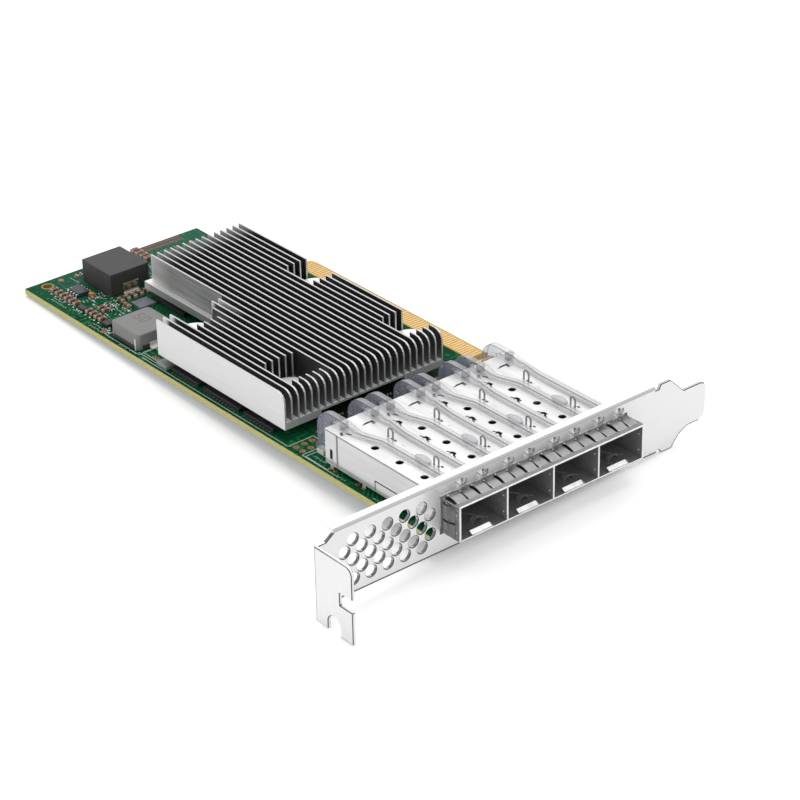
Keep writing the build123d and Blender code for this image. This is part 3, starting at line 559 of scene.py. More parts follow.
def soften(node, slot, width):
    """A copy of a CAD node with its sharp edges broken, in the node's place."""
    mesh = copy_node(node)
    bevel_sharp(mesh, width / 1000)
    return add_metre_piece(node + "_finished", mesh, slot, [node])


def dress(node, slot):
    """Gives a CAD node that stays its finish."""
    for place in frame["nodes"][node].material_slots:
        place.material = FINISHES[slot].material


def add_looks(piece, *looks):
    """Adds more finishes to a piece, to be picked by its faces."""
    for look in looks:
        piece.data.materials.append(FINISHES[look].material)


def shade_smooth(piece, angle):
    """Rounded faces blend into each other; folds sharper than the angle stay crisp."""
    piece.data.shade_smooth()
    piece.data.set_sharp_from_angle(angle=math.radians(angle))


# Camera, light and floor

def add_camera():
    """The photograph's viewpoint, turned, lifted and rolled round a point on the board."""
    turn, lift, roll = (math.radians(a) for a in (50.693, 29.084, -1.093))
    back = Vector((math.sin(turn) * math.cos(lift), -math.cos(turn) * math.cos(lift),
                   math.sin(lift)))
    level = Vector((math.cos(turn), math.sin(turn), 0))
    rise = back.cross(level)
    side = level * math.cos(roll) + rise * math.sin(roll)
    top = rise * math.cos(roll) - level * math.sin(roll)
    target, distance = Vector((-51.305, 34.627, 0)), 685.825
    eye = CARD @ (target + back * distance)
    lens = bpy.data.cameras.new("photo_camera")
    lens.sensor_width = 36.0
    lens.lens = 125.58
    lens.shift_x = -0.0079
    lens.shift_y = 0.00912
    lens.clip_start = 0.01
    camera = bpy.data.objects.new("photo_camera", lens)
    turned = Matrix((side, top, back)).transposed().to_4x4()
    camera.matrix_world = Matrix.Translation(eye) @ turned
    bpy.context.scene.collection.objects.link(camera)
    bpy.context.scene.camera = camera


def add_lamp(name, place, size, power):
    """A soft rectangular lamp that points at the card's middle, in metres and watts."""
    data = bpy.data.lights.new(name, "AREA")
    data.shape = "RECTANGLE"
    data.size, data.size_y = size
    data.energy = power
    lamp = bpy.data.objects.new(name, data)
    lamp.location = place
    lamp.rotation_euler = (-Vector(place)).to_track_quat("-Z", "Y").to_euler()
    bpy.context.scene.collection.objects.link(lamp)


def add_world():
    """Plain surroundings: their soft light is weaker than the white that lens and metal see."""
    world = bpy.data.worlds.new("studio")
    bpy.context.scene.world = world
    world.use_nodes = True
    nodes, links = world.node_tree.nodes, world.node_tree.links
    light, seen = nodes["Background"], nodes.new("ShaderNodeBackground")
    for background, strength in ((light, 0.61), (seen, 1.0)):
        background.inputs["Color"].default_value = (1, 1, 1, 1)
        background.inputs["Strength"].default_value = strength
    path = nodes.new("ShaderNodeLightPath")
    either = nodes.new("ShaderNodeMath")
    either.operation = "MAXIMUM"
    links.new(path.outputs["Is Camera Ray"], either.inputs[0])
    links.new(path.outputs["Is Glossy Ray"], either.inputs[1])
    mix = nodes.new("ShaderNodeMixShader")
    links.new(either.outputs[0], mix.inputs[0])
    links.new(light.outputs[0], mix.inputs[1])
    links.new(seen.outputs[0], mix.inputs[2])
    links.new(mix.outputs[0], nodes["World Output"].inputs[0])


def add_floor():
    """A pale floor that tilts, because the card rests on three uneven points."""
    mesh = bmesh.new()
    bmesh.ops.create_grid(mesh, x_segments=1, y_segments=1, size=4.0)
    data = bpy.data.meshes.new("floor")
    mesh.to_mesh(data)
    mesh.free()
    finish = Finish("floor_white", grey(0.97), 0.9)
    finish.set("Specular IOR Level", 0.0)
    finish.set("Emission Color", (1, 1, 1, 1))
    path = finish.node("ShaderNodeLightPath")
    seen = finish.times(path.outputs["Is Camera Ray"], 0.22)
    finish.link(seen, finish.shader.inputs["Emission Strength"])
    data.materials.append(finish.material)
    # The three points are the screw tab, the bracket's far corner and a screw head.
    slope_x, slope_y, height = -0.02714, 0.02589, -6.766
    lean = Matrix(((1, 0, 0, 0), (0, 1, 0, 0), (slope_x, slope_y, 1, height), (0, 0, 0, 1)))
    data.transform(CARD @ lean @ Matrix.Diagonal((1000, 1000, 1000, 1)))
    floor = bpy.data.objects.new("floor", data)
    bpy.context.scene.collection.objects.link(floor)


def add_studio():
    """The camera, the surroundings, the floor and three soft lamps."""
    add_camera()
    add_world()
    add_floor()
    add_lamp("overhead_softbox", (-0.10, 0.25, 0.75), (0.9, 0.9), 3.6)
    add_lamp("near_side_softbox", (-0.15, -0.95, 0.35), (0.8, 0.5), 1.5)
    add_lamp("front_softbox", (1.0, -0.35, 0.45), (0.8, 0.8), 0.9)
    bpy.context.scene.view_settings.view_transform = "Standard"


add_studio()


# Board art

def add_stroke(mesh, x, y, length, width, angle, top=0.03):
    """A printed stroke lying on the board, centred on x, y and turned in degrees."""
    add_bar(mesh, at(x, y, top / 2) @ rotated(angle, "Z"), length, width, top)


def add_disc(mesh, x, y, radius, low, high, sides=12):
    """A flat round pad standing from low to high."""
    bmesh.ops.create_cone(mesh, cap_ends=True, segments=sides, radius1=radius,
                          radius2=radius * 0.94, depth=high - low,
                          matrix=at(x, y, (low + high) / 2))


def add_ticks(mesh, x, y, count, step, along_x=True):
    """A run of short strokes, like a row of part marks printed by a pad."""
    for n in range(count):
        shift = n * step + random.uniform(-0.1, 0.1)
        angle = random.choice((0, 0, 90, 90, 45))
        px, py = (x + shift, y) if along_x else (x, y + shift)
        add_stroke(mesh, px, py + random.uniform(-0.12, 0.12), random.uniform(0.45, 0.85),
                   0.14, angle)


def add_frame(mesh, x0, x1, y0, y1, width=0.16):
    """The outline of a part's place."""
    for y in (y0, y1):
        add_stroke(mesh, (x0 + x1) / 2, y, x1 - x0 + width, width, 0)
    for x in (x0, x1):
        add_stroke(mesh, x, (y0 + y1) / 2, y1 - y0, width, 90)


def print_silkscreen():
    """White lines, outlines of parts and runs of small marks, scattered where many stand."""
    mesh = bmesh.new()
    add_stroke(mesh, -76.0, 0.95, 80.0, 0.16, 0)
    add_stroke(mesh, -114.5, 1.9, 9.0, 0.14, 0)
    add_frame(mesh, -118.2, -110.7, 2.7, 6.4)
    add_frame(mesh, -55.3, -49.8, 0.95, 8.7)
    add_frame(mesh, -48.7, -40.4, 1.2, 4.6)
    for y in (8.6, 9.7, 10.7):
        add_stroke(mesh, -161.0, y, 0.9, 0.40, 0)
        add_stroke(mesh, -154.0, y + 1.9, 0.6, 0.16, 90)
    add_frame(mesh, -132.4, -117.8, 1.2, 14.7)
    for x, y, count, step in ((-158.8, 1.9, 8, 0.9), (-159.0, 2.9, 5, 0.9), (-150.0, 3.0, 4, 0.9),
                              (-140.0, 2.4, 7, 1.0), (-139.5, 1.2, 6, 0.9), (-125.6, 0.75, 4, 0.9),
                              (-121.0, 1.0, 3, 0.9), (-165.9, 12.9, 5, 0.8), (-166.4, 18.4, 3, 0.8),
                              (-152.2, 9.6, 4, 0.8), (-142.6, 11.6, 5, 0.8), (-137.4, 8.3, 4, 0.8),
                              (-141.5, 13.6, 4, 0.8), (-136.3, 15.3, 4, 0.9),
                              (-134.4, 17.8, 3, 0.9), (-163.8, 29.5, 5, 0.8),
                              (-160.5, 31.6, 4, 0.8), (-156.5, 29.0, 4, 0.8),
                              (-152.5, 31.0, 5, 0.8), (-158.5, 36.2, 6, 0.8),
                              (-150.5, 37.0, 4, 0.8), (-47.2, 2.9, 6, 0.8),
                              (-36.5, 1.1, 4, 0.9), (-22.5, 1.1, 3, 0.9)):
        add_ticks(mesh, x, y, count, step)
    for n in range(6):
        add_stroke(mesh, -163.4 + 2.1 * n, 4.4, 1.5, 0.12, 90)
    for y in (36.8, 39.6, 42.4, 45.2, 48.0, 50.8):
        add_ticks(mesh, -163.6, y, 3, 0.8)
        add_ticks(mesh, -159.4 + random.uniform(-1, 1), y + 1.1, 3, 0.9)
    for n in range(40):
        x, y = random.uniform(-153.5, -133.0), random.uniform(6.8, 14.6)
        add_stroke(mesh, x, y, random.uniform(0.5, 1.3), 0.13, random.choice((0, 90, 45, -45)))
    for n in range(40):
        x, y = random.uniform(-56.8, -51.0), random.uniform(8.8, 60.0)
        add_stroke(mesh, x, y, random.uniform(0.4, 0.8), 0.14, random.choice((0, 90)))
    for n in range(36):
        x, y = random.uniform(-161.0, -145.5), random.uniform(28.5, 55.0)
        add_ticks(mesh, x, y, random.choice((2, 3)), 0.8, random.random() < 0.5)
    for x, y, count in ((-58.9, 56.2, 4), (-55.6, 58.8, 3), (-53.0, 55.6, 4), (-61.0, 58.3, 3),
                        (-50.5, 58.9, 3), (-104.0, 57.2, 5), (-97.0, 59.0, 4), (-64.5, 57.1, 3),
                        (-57.0, 47.6, 3), (-55.4, 52.4, 3), (-139.0, 54.2, 4)):
        add_ticks(mesh, x, y, count, 0.85)
    add_piece("silkscreen", mesh, "silk_white")


VIAS = [(-40.4, 2.35), (-38.7, 2.35), (-30.3, 2.35), (-28.1, 2.36), (-61.95, 54.9), (-57.8, 50.0),
        (-114.2, 3.4), (-112.95, 3.5), (-111.7, 3.7), (-166.2, 14.6), (-166.2, 16.0),
        (-134.3, 1.6), (-133.4, 1.9), (-135.3, 2.5)]


def add_vias():
    """Open plated holes and the bare copper dots of the board."""
    rings = bmesh.new()
    holes = bmesh.new()
    for x, y in VIAS:
        add_disc(rings, x, y, 0.62, 0, 0.03)
        add_disc(holes, x, y, 0.30, 0.02, 0.04)
    for n in range(90):
        x = random.choice((random.uniform(-166.0, -144.0), random.uniform(-144.0, -112.0),
                           random.uniform(-57.0, -50.0)))
        y = random.uniform(1.0, 14.5) if -144 < x < -112 else random.uniform(1.5, 55.0)
        add_disc(rings, x, y, 0.20, 0, 0.02, 8)
    add_disc(rings, -167.0, 10.2, 0.75, 0, 0.03, 16)
    add_piece("via_rings", rings, "copper")
    add_piece("via_holes", holes, "connector_black")


def add_covered_vias():
    """Small bumps of masked vias that catch the light all over the board."""
    mesh = bmesh.new()
    for n in range(330):
        zone = random.random()
        if zone < 0.5:
            x, y = random.uniform(-168.0, -144.5), random.uniform(1.0, 55.5)
        elif zone < 0.75:
            x, y = random.uniform(-144.5, -112.0), random.uniform(0.8, 18.5)
        else:
            x, y = random.uniform(-57.5, -49.5), random.uniform(1.0, 60.0)
        add_disc(mesh, x, y, random.choice((0.16, 0.22)), 0, 0.025, 8)
    add_piece("covered_vias", mesh, "mask_light")


def add_resistors():
    """Tiny chip parts, their solder and the dots of solder in front of the capacitors."""
    bodies = bmesh.new()
    ends = bmesh.new()
    rows = [(-55.6 + 1.7 * (n % 2), 10.6 + 2.3 * n, n % 3 == 0) for n in range(19)]
    rows += [(-52.6, 12.0 + 5.1 * n, True) for n in range(8)]
    rows += [(-58.2 - 0.9 * (n % 2), 14.6 + 1.9 * n, n % 2 == 0) for n in range(15)]
    rows += [(-59.3, 62.0, 1), (-57.0, 56.0, 0), (-136.6, 9.6, 1), (-134.4, 11.5, 0),
             (-134.2, 2.6, 1), (-132.7, 1.6, 0), (-152.6, 9.9, 0), (-151.0, 12.0, 1),
             (-144.0, 11.9, 1), (-141.6, 7.5, 1), (-138.9, 10.6, 0), (-137.2, 13.4, 1),
             (-161.0, 31.0, 1), (-163.0, 28.9, 0), (-157.6, 31.6, 0), (-149.6, 29.6, 1),
             (-147.4, 31.6, 1), (-152.0, 34.0, 0), (-157.0, 38.5, 1), (-150.4, 41.5, 0),
             (-166.2, 14.8, 1), (-166.2, 16.2, 1), (-163.9, 17.2, 0)]
    for n in range(30):
        x, y = random.uniform(-153.0, -133.5), random.uniform(9.9, 14.0)
        if n % 3 == 0:
            x, y = random.uniform(-165.5, -147.0), random.uniform(28.5, 33.0)
        rows.append((x, y, random.random() < 0.5))
    # The body, the centre of an end and half an end, as shares of half the part
    body, end, end_half = 0.62, 0.8, 0.22
    for x, y, along_x in rows:
        a, b = (0.50, 0.28) if along_x else (0.28, 0.50)
        add_block(bodies, x - a * body, x + a * body, y - b * body, y + b * body, 0, 0.34)
        for side in (-1, 1):
            cx = x + side * a * end if along_x else x
            cy = y if along_x else y + side * b * end
            w, d = (a * end_half, b) if along_x else (a, b * end_half)
            add_block(ends, cx - w, cx + w, cy - d, cy + d, 0, 0.38)
    for n in range(6):
        add_disc(ends, -161.7 + 2.10 * n, 3.55, 0.26, 0, 0.16, 8)
    for n in range(4):
        add_disc(ends, -145.4 + 2.03 * n, 3.45, 0.28, 0, 0.16, 8)
    for x, y in ((-150.6, 9.6), (-148.9, 8.4), (-134.9, 3.9), (-133.8, 3.0), (-132.6, 2.2),
                 (-141.9, 15.4), (-139.6, 13.2)):
        add_disc(ends, x, y, 0.34, 0, 0.20, 8)
    bevel_sharp(bodies, 0.03, 1)
    bevel_sharp(ends, 0.05, 1)
    add_piece("small_resistors", bodies, "black_chip")
    add_piece("small_resistor_ends", ends, "tin")
    add_blocks("amber_part", "amber", (-154.2, -152.7, 10.3, 11.6, 0.0, 1.05), bevel=0.15)
    add_blocks("header_pad_ground", "package_green", (-168.75, -165.4, 36.0, 50.1, 0, 0.02))
    pins = bmesh.new()
    pin_step = 1.27
    for x0, x1 in ((-105.0, -93.6), (-91.4, -76.6), (-74.6, -63.0)):
        count = int((x1 - x0) / pin_step)
        for n in range(count):
            x = (x0 + x1) / 2 + (n - (count - 1) / 2) * pin_step
            add_block(pins, x - 0.2, x + 0.2, 1.55, 2.25, 0, 0.3)
    bevel_sharp(pins, 0.06, 1)
    add_piece("edge_chip_pins", pins, "dull_tin")


# Cooler, power parts and chips

def finish_small_parts():
    """Breaks the edges of the solids whose form needs no more."""
    for node, slot, width in (
            ("black_inductor", "black_ferrite", 0.22), ("grey_inductor", "grey_ferrite", 0.35),
            ("black_inductor_terminals", "mirror_tin", 0.08),
            ("grey_inductor_terminals", "tin", 0.08),
            ("power_chip", "grey_chip", 0.10), ("leaded_chip", "chip_blue", 0.12),
            ("leaded_chip_leads", "tin", 0.04), ("transistor", "black_chip", 0.10),
            ("transistor_leads", "tin", 0.05), ("edge_chips", "black_chip", 0.10),
            ("flash_chip", "black_chip", 0.10), ("dark_chip", "black_chip", 0.10),
            ("crystal", "crystal_can", 0.20), ("small_capacitors", "capacitor_brown", 0.10),
            ("small_capacitor_ends", "end_beige", 0.14),
            ("large_capacitors", "capacitor_brown", 0.12),
            ("large_capacitor_ends", "end_beige", 0.16), ("port_lights", "light_white", 0.15),
            ("header_pads", "pad_brown", 0.02), ("heat_sink", "sink_aluminium", 0.06),
            *((f"module_connector_{n}", "connector_black", 0.12) for n in range(1, PORTS + 1))):
        soften(node, slot, width)


def add_chip_marks():
    """Pin dots, the pressed rim and clip of the grey inductor and its two digits."""
    dots = bmesh.new()
    for x, y, z in ((-159.2, 8.4, 1.25), (-141.8, 16.6, 0.70)):
        add_disc(dots, x, y, 0.26, z - 0.05, z + 0.02, 16)
    add_piece("pin_dots", dots, "end_beige")
    add_blocks("grey_inductor_band", "black_ferrite", (-131.25, -118.95, 3.3, 12.7, 0.2, 1.35),
               (-129.9, -120.3, 1.85, 14.05, 0.2, 1.35), bevel=0.02, segments=1)
    add_blocks("grey_inductor_clip", "tin", (-120.35, -119.85, 1.72, 1.92, 0.0, 3.2), bevel=0.06)
    digits = bmesh.new()
    lit = {"5": "afgcd", "0": "abcdef"}
    bars = {"a": (0, 1.5, 0), "b": (0.75, 0.75, 1), "c": (0.75, -0.75, 1), "d": (0, -1.5, 0),
            "e": (-0.75, -0.75, 1), "f": (-0.75, 0.75, 1), "g": (0, 0, 0)}
    for digit_x, digit in ((-128.0, "5"), (-125.4, "0")):
        for name in lit[digit]:
            dx, dy, upright = bars[name]
            place = at(digit_x + dx, 8.9 + dy, 4.605) @ rotated(90 * upright, "Z")
            add_bar(digits, place, 1.35, 0.26, 0.02)
    add_piece("grey_inductor_digits", digits, "bend_dark")


# Module cage

def finish_cage():
    """The cage's sheets, bright outside and in painted shade inside, and the seams of its side
    walls.
    """
    cover = soften("cage_cover", "cage_metal", 0.09)
    sheets = [cover] + [soften(node, "cage_metal", 0.05) for node in
                        ("cage_floor", "cage_divider_1", "cage_divider_2", "cage_divider_3")]
    skin, rear_wall, floor_top = 0.12, -42.2, 1.0
    # The second look paints shade on the faces inside the ports.
    for piece in sheets:
        add_looks(piece, "cage_inside")
        for face in piece.data.polygons:
            x, y, z = CARD.inverted() @ face.center
            outside = x > CAGE_FRONT - skin
            if piece is cover:
                outside = (outside or z > CAGE_TOP - skin or x < rear_wall
                           or y < CAGE_NEAR + skin or y > CAGE_FAR - skin)
            else:
                outside = outside or z < floor_top
            face.material_index = 0 if outside else 1
    seams = bmesh.new()
    for wall, out in ((CAGE_NEAR, -1), (CAGE_FAR, 1)):
        y0, y1 = sorted((wall + 0.02 * out, wall - 0.15 * out))
        add_block(seams, -37.9, 0.0, y0, y1, 9.66, 9.92)
        add_block(seams, -38.1, -37.5, y0, y1, 1.0, 9.9)
        add_block(seams, -42.35, -37.8, y0, y1, 9.72, 10.02)
    add_piece("cage_seams", seams, "sheared_edge")


def port_starts():
    """The near wall of each port."""
    return [CAGE_NEAR + PORT_PITCH * n for n in range(PORTS)]


def add_latches():
    """The bright tongue at each port's mouth, the hood behind it in painted shade, a floor seam and
    rivets.
    """
    tongues = bmesh.new()
    seams = bmesh.new()
    hoods = bmesh.new()
    rivets = bmesh.new()
    for start in port_starts():
        middle = start + 6.75
        add_bar(tongues, at(5.72, middle, 1.86) @ rotated(34, "Y"), 1.25, 6.0, 0.16)
        hood = [(middle + 1.75 - 1.6 * math.cos(math.radians(30 * n)),
                 1.36 + 1.35 * math.sin(math.radians(30 * n))) for n in range(7)]
        add_finger(hoods, hood, 1.3, 2.6, "x")
        add_bar(seams, at(-1.6, start + 9.2, 1.40) @ rotated(32, "Z"), 9.5, 0.14, 0.10)
        for z in (3.1, 7.4):
            add_dot(rivets, 5.15, start + PORT_PITCH + 0.02, z, 0.20)
    bevel_sharp(tongues, 0.06)
    bevel_sharp(seams, 0.14)
    add_piece("latch_tongues", tongues, "cage_metal")
    add_piece("floor_seams", seams, "lit_edge")
    thicken(hoods, 0.20)
    shade_smooth(add_piece("latch_hoods", hoods, "sheared_edge"), 40)
    add_piece("mouth_rivets", rivets, "tin")


def add_finger(mesh, points, low, high, across):
    """A bent strip: its profile's points, drawn from low to high along an axis."""
    order = {"x": (2, 0, 1), "y": (0, 2, 1), "z": (0, 1, 2)}[across]
    profile = [mesh.verts.new([(*point, low)[n] for n in order]) for point in points]
    strip = [mesh.edges.new(pair) for pair in zip(profile, profile[1:])]
    swept = bmesh.ops.extrude_edge_only(mesh, edges=strip)["geom"]
    shift = Vector([(0, 0, high - low)[n] for n in order])
    bmesh.ops.translate(mesh, verts=only_verts(swept), vec=shift)


def thicken(mesh, amount):
    """Gives bent strips the thickness of their sheet."""
    bmesh.ops.recalc_face_normals(mesh, faces=mesh.faces)
    bmesh.ops.solidify(mesh, geom=mesh.faces[:], thickness=amount)


def add_collar_top():
    """Top spring strip: two bands, a dark plate of painted shade under the fingers and four arched
    fingers over each port.
    """
    add_blocks("collar_top_band", "spring_metal",
               (4.75, 6.05, CAGE_NEAR, CAGE_FAR, CAGE_TOP, CAGE_TOP + 0.16),
               (0.15, 1.15, CAGE_NEAR, CAGE_FAR, CAGE_TOP, CAGE_TOP + 0.16),
               bevel=0.05, replaced=["spring_strip_top"])
    # A dark plate of painted shade shows between the fingers.
    add_blocks("collar_top_shade", "slit_dark",
               (1.1, 4.8, CAGE_NEAR, CAGE_FAR, CAGE_TOP - 0.02, CAGE_TOP + 0.04),
               bevel=0.01, segments=1)
    fingers = bmesh.new()
    dots = bmesh.new()
    arch = [(0.70, 0.06), (0.95, 0.36), (1.30, 0.58), (1.80, 0.74), (2.40, 0.80), (3.00, 0.76),
            (3.60, 0.64), (4.20, 0.44), (4.80, 0.20), (5.20, 0.06)]
    step = PORT_PITCH / 4
    for start in port_starts():
        for n in range(4):
            low = start + 0.25 + n * step + 0.32
            high = low + step - 0.64
            tops = [start + y for y in PIPE_FRONTS]
            lowered = any(low - 0.9 < top < high + 0.9 for top in tops)
            rise = 0.55 if lowered else 1.0
            points = [(x, CAGE_TOP + 0.08 + z * rise) for x, z in arch]
            add_finger(fingers, points, low, high, "y")
            # Tin dots on the fingers give them painted glints.
            for dot_x, lift in ((1.45, 0.66), (4.95, 0.16)):
                add_dot(dots, dot_x, low + 0.2, CAGE_TOP + 0.14 + lift * rise, 0.19)
    thicken(fingers, 0.12)
    shade_smooth(add_piece("collar_top_fingers", fingers, "spring_metal"), 30)
    add_piece("collar_dots", dots, "tin")


def add_collar_side(name, wall, direction, node):
    """Side spring strip: a frame with two bowed fingers and a dark plate of painted shade in the
    gap between them.
    """
    band = bmesh.new()
    outer = wall + 0.16 * direction
    y0, y1 = sorted((wall, outer))
    for x0, x1 in ((0.15, 1.0), (4.85, 6.05)):
        add_block(band, x0, x1, y0, y1, 1.15, 9.95)
    for z0, z1 in ((1.15, 1.55), (9.5, 9.95)):
        add_block(band, 0.9, 5.0, y0, y1, z0, z1)
    bevel_sharp(band, 0.05)
    add_piece(name + "_band", band, "spring_metal", [node])
    fingers = bmesh.new()
    arch = [(0.8, 0.06), (1.3, 0.40), (2.0, 0.66), (2.9, 0.70), (3.9, 0.46), (5.0, 0.08)]
    for z0, z1 in ((1.75, 5.05), (5.65, 9.3)):
        points = [(x, wall + (0.05 + y) * direction) for x, y in arch]
        add_finger(fingers, points, z0, z1, "z")
    thicken(fingers, 0.10)
    shade_smooth(add_piece(name + "_fingers", fingers, "spring_metal"), 30)
    # Dark plates of painted shade in the gap between the fingers and along the front band.
    y0, y1 = sorted((wall, wall + 0.05 * direction))
    add_blocks(name + "_gap", "slit_dark", (1.1, 4.8, y0, y1, 4.95, 5.75),
               (0.95, 1.35, y0, y1, 1.6, 9.4))
    dots = bmesh.new()
    for x, z in ((5.45, 7.85), (5.45, 3.2), (1.9, 9.5), (1.9, 1.9)):
        add_dot(dots, x, outer, z, 0.17)
    add_piece(name + "_dots", dots, "tin")


def add_cage_pressings():
    """Torn openings round the bent tabs, dimples and dents in painted shade, and the proud tab low
    on the side wall with a line of painted shadow round it.
    """
    slits = bmesh.new()
    # Each stroke is X, Y from the port's start, length, width and angle.
    splinters = ((-0.75, 0.30, 1.7, 0.24, 18), (0.05, 0.62, 1.1, 0.62, 8),
                 (0.62, 0.30, 1.3, 0.34, -38), (1.35, -0.12, 1.0, 0.22, -20),
                 (-0.30, 0.02, 0.5, 0.24, 60))
    marks = ((-37.35, 9.05, 0.30, 2.50, 2), (-36.75, 10.15, 1.15, 0.30, -14),
             (-37.30, 1.06, 0.28, 1.30, 35), (-37.20, 1.10, 1.30, 0.28, -12),
             (-36.10, 2.31, 1.35, 0.30, 23), (-27.85, 8.54, 0.50, 0.34, 10),
             (-26.60, 8.62, 0.80, 0.40, -12), (-10.75, 8.30, 0.50, 0.34, 20),
             (-10.1, 8.95, 0.80, 0.40, -10))
    dents = ((-37.0, 4.5, 0.18, 1.95, -3), (-32.4, 4.4, 0.5, 0.25, 30), (-31.6, 4.9, 0.4, 0.3, 0),
             (-30.9, 4.1, 0.5, 0.25, 40), (-14.2, 4.4, 0.5, 0.25, 30), (-13.4, 4.9, 0.4, 0.3, 0),
             (-12.6, 4.2, 0.5, 0.25, 40), (-23.6, 8.6, 1.0, 0.22, 10), (-33.6, 12.6, 1.1, 0.26, 30))
    for number, start in enumerate(port_starts()):
        torn = (-32.8, -22.9, -13.3) if number else ()
        for x in torn:
            for dx, dy, length, width, angle in splinters:
                add_cage_stroke(slits, x + dx, start + 0.2 + dy, length * 1.15, width * 1.5, angle)
        for x, y, length, width, angle in marks:
            add_cage_stroke(slits, x, start + y, length * 1.1, width * 1.3, angle)
    # A dark line of painted shadow round the proud tab.
    add_block(slits, -23.85, -23.5, CAGE_NEAR - 0.06, CAGE_NEAR + 0.05, 1.4, 3.9)
    add_block(slits, -23.85, -13.0, CAGE_NEAR - 0.06, CAGE_NEAR + 0.05, 3.72, 3.98)
    add_blocks("cage_tabs", "cage_metal",
               (-23.5, -0.9, CAGE_NEAR - 0.10, CAGE_NEAR + 0.05, 1.4, 3.7), bevel=0.04, segments=1)
    add_piece("cage_slits", slits, "slit_dark")
    dimples = bmesh.new()
    for start in port_starts():
        for x, y in ((-22.8, 5.6), (-14.2, 5.7), (-29.6, 11.0)):
            add_disc(dimples, x, start + y, 0.42, CAGE_TOP - 0.02, CAGE_TOP + 0.03, 14)
        for x, y, length, width, angle in dents:
            add_cage_stroke(dimples, x, start + y, length, width, angle)
    # Painted shade in the dimples and dents.
    add_piece("cage_dimples", dimples, "bend_shade")


def add_cage_stroke(mesh, x, y, length, width, angle):
    """A thin mark on the cage's top."""
    add_bar(mesh, at(x, y, CAGE_TOP + 0.01) @ rotated(angle, "Z"), length, width, 0.05)


# Light pipes

PIPE_BEND = (-43.6, 7.5)
PIPE_BEND_R = 4.9
PIPE_SHOULDER = -42.9
PIPE_FOOT = 1.12
PIPE_HALF = 0.95
ROD_HALF = 0.68
ROD_LOW = 10.30
ROD_TOP = 11.50
PIPE_TOP = 12.30


def add_profile(mesh, points, y):
    """A face standing along the pipe's run, through X and height points."""
    return mesh.faces.new([mesh.verts.new((x, y, z)) for x, z in points])


def add_light_pipe(number):
    """A clear moulding: round-backed lobe behind the cage, then a thin rod over it."""
    port, side = divmod(number, 2)
    rear = port_starts()[port] + PIPE_REARS[side]
    front = port_starts()[port] + PIPE_FRONTS[side]
    mesh = bmesh.new()
    bend_x, bend_z = PIPE_BEND
    centre = Vector((bend_x, rear, bend_z))
    arc = [mesh.verts.new(centre), mesh.verts.new(centre + Vector((-PIPE_BEND_R, 0, 0)))]
    spoke = mesh.edges.new(arc)
    bmesh.ops.spin(mesh, geom=[*arc, spoke], cent=centre, axis=(0, 1, 0),
                   angle=math.radians(90), steps=18, use_duplicate=False)
    bmesh.ops.remove_doubles(mesh, verts=mesh.verts, dist=0.001)
    top = bend_z + PIPE_BEND_R
    add_profile(mesh, [(-48.5, bend_z), (-48.5, 3.3), (-49.2, 2.6), (-49.2, PIPE_FOOT),
                       (PIPE_SHOULDER, PIPE_FOOT), (PIPE_SHOULDER, bend_z), (bend_x, bend_z)], rear)
    add_profile(mesh, [(bend_x, bend_z), (PIPE_SHOULDER, bend_z), (PIPE_SHOULDER, ROD_LOW + 0.2),
                       (-38.6, ROD_LOW + 0.2), (-36.2, ROD_LOW), (-34.4, ROD_LOW), (-34.4, ROD_TOP),
                       (-35.6, ROD_TOP + 0.22), (-37.2, ROD_TOP + 0.68), (-38.8, top),
                       (bend_x, top)], rear)
    bmesh.ops.remove_doubles(mesh, verts=mesh.verts, dist=0.001)
    bmesh.ops.recalc_face_normals(mesh, faces=mesh.faces)
    bmesh.ops.translate(mesh, verts=mesh.verts, vec=(0, -PIPE_HALF, 0))
    swept = bmesh.ops.extrude_face_region(mesh, geom=mesh.faces[:])["geom"]
    bmesh.ops.translate(mesh, verts=only_verts(swept), vec=(0, 2 * PIPE_HALF, 0))
    bmesh.ops.recalc_face_normals(mesh, faces=mesh.faces)
    ends = [f for f in mesh.faces if f.normal.x > 0.99 and f.calc_center_median().x > -34.5]
    thin = ROD_HALF / PIPE_HALF
    tall = (PIPE_TOP - ROD_LOW) / (ROD_TOP - ROD_LOW)
    # The end is pushed on along X, moved to Y and scaled, step by step.
    for x, y, wide, high in ((-33.2, rear, thin, 1), (-27.0, front, 1, 1), (-2.8, front, 1, 1),
                             (-1.6, front, 1 / thin, tall), (1.2, front, 1, 1)):
        grown = bmesh.ops.extrude_face_region(mesh, geom=ends)["geom"]
        bmesh.ops.delete(mesh, geom=ends, context="FACES_ONLY")
        ends, verts = only_faces(grown), only_verts(grown)
        middle = sum((v.co for v in verts), Vector()) / len(verts)
        bmesh.ops.translate(mesh, verts=verts, vec=(x - middle.x, y - middle.y, 0))
        bmesh.ops.scale(mesh, verts=verts, vec=(1, wide, high), space=at(0, -y, -ROD_LOW))
    bmesh.ops.dissolve_limit(mesh, angle_limit=math.radians(0.5), verts=mesh.verts,
                             edges=mesh.edges)
    # The rounded edges take painted shade.
    for face in bevel_sharp(mesh, 0.20, 2, 40):
        face.material_index = 1
    for face in mesh.faces:
        if face.calc_center_median().x > -0.2:
            face.material_index = 2
    node = f"light_pipe_{number + 1}"
    piece = add_piece(node + "_clear", mesh, "clear_plastic", [node])
    add_looks(piece, "pipe_edge", "pipe_haze")
    shade_smooth(piece, 42)


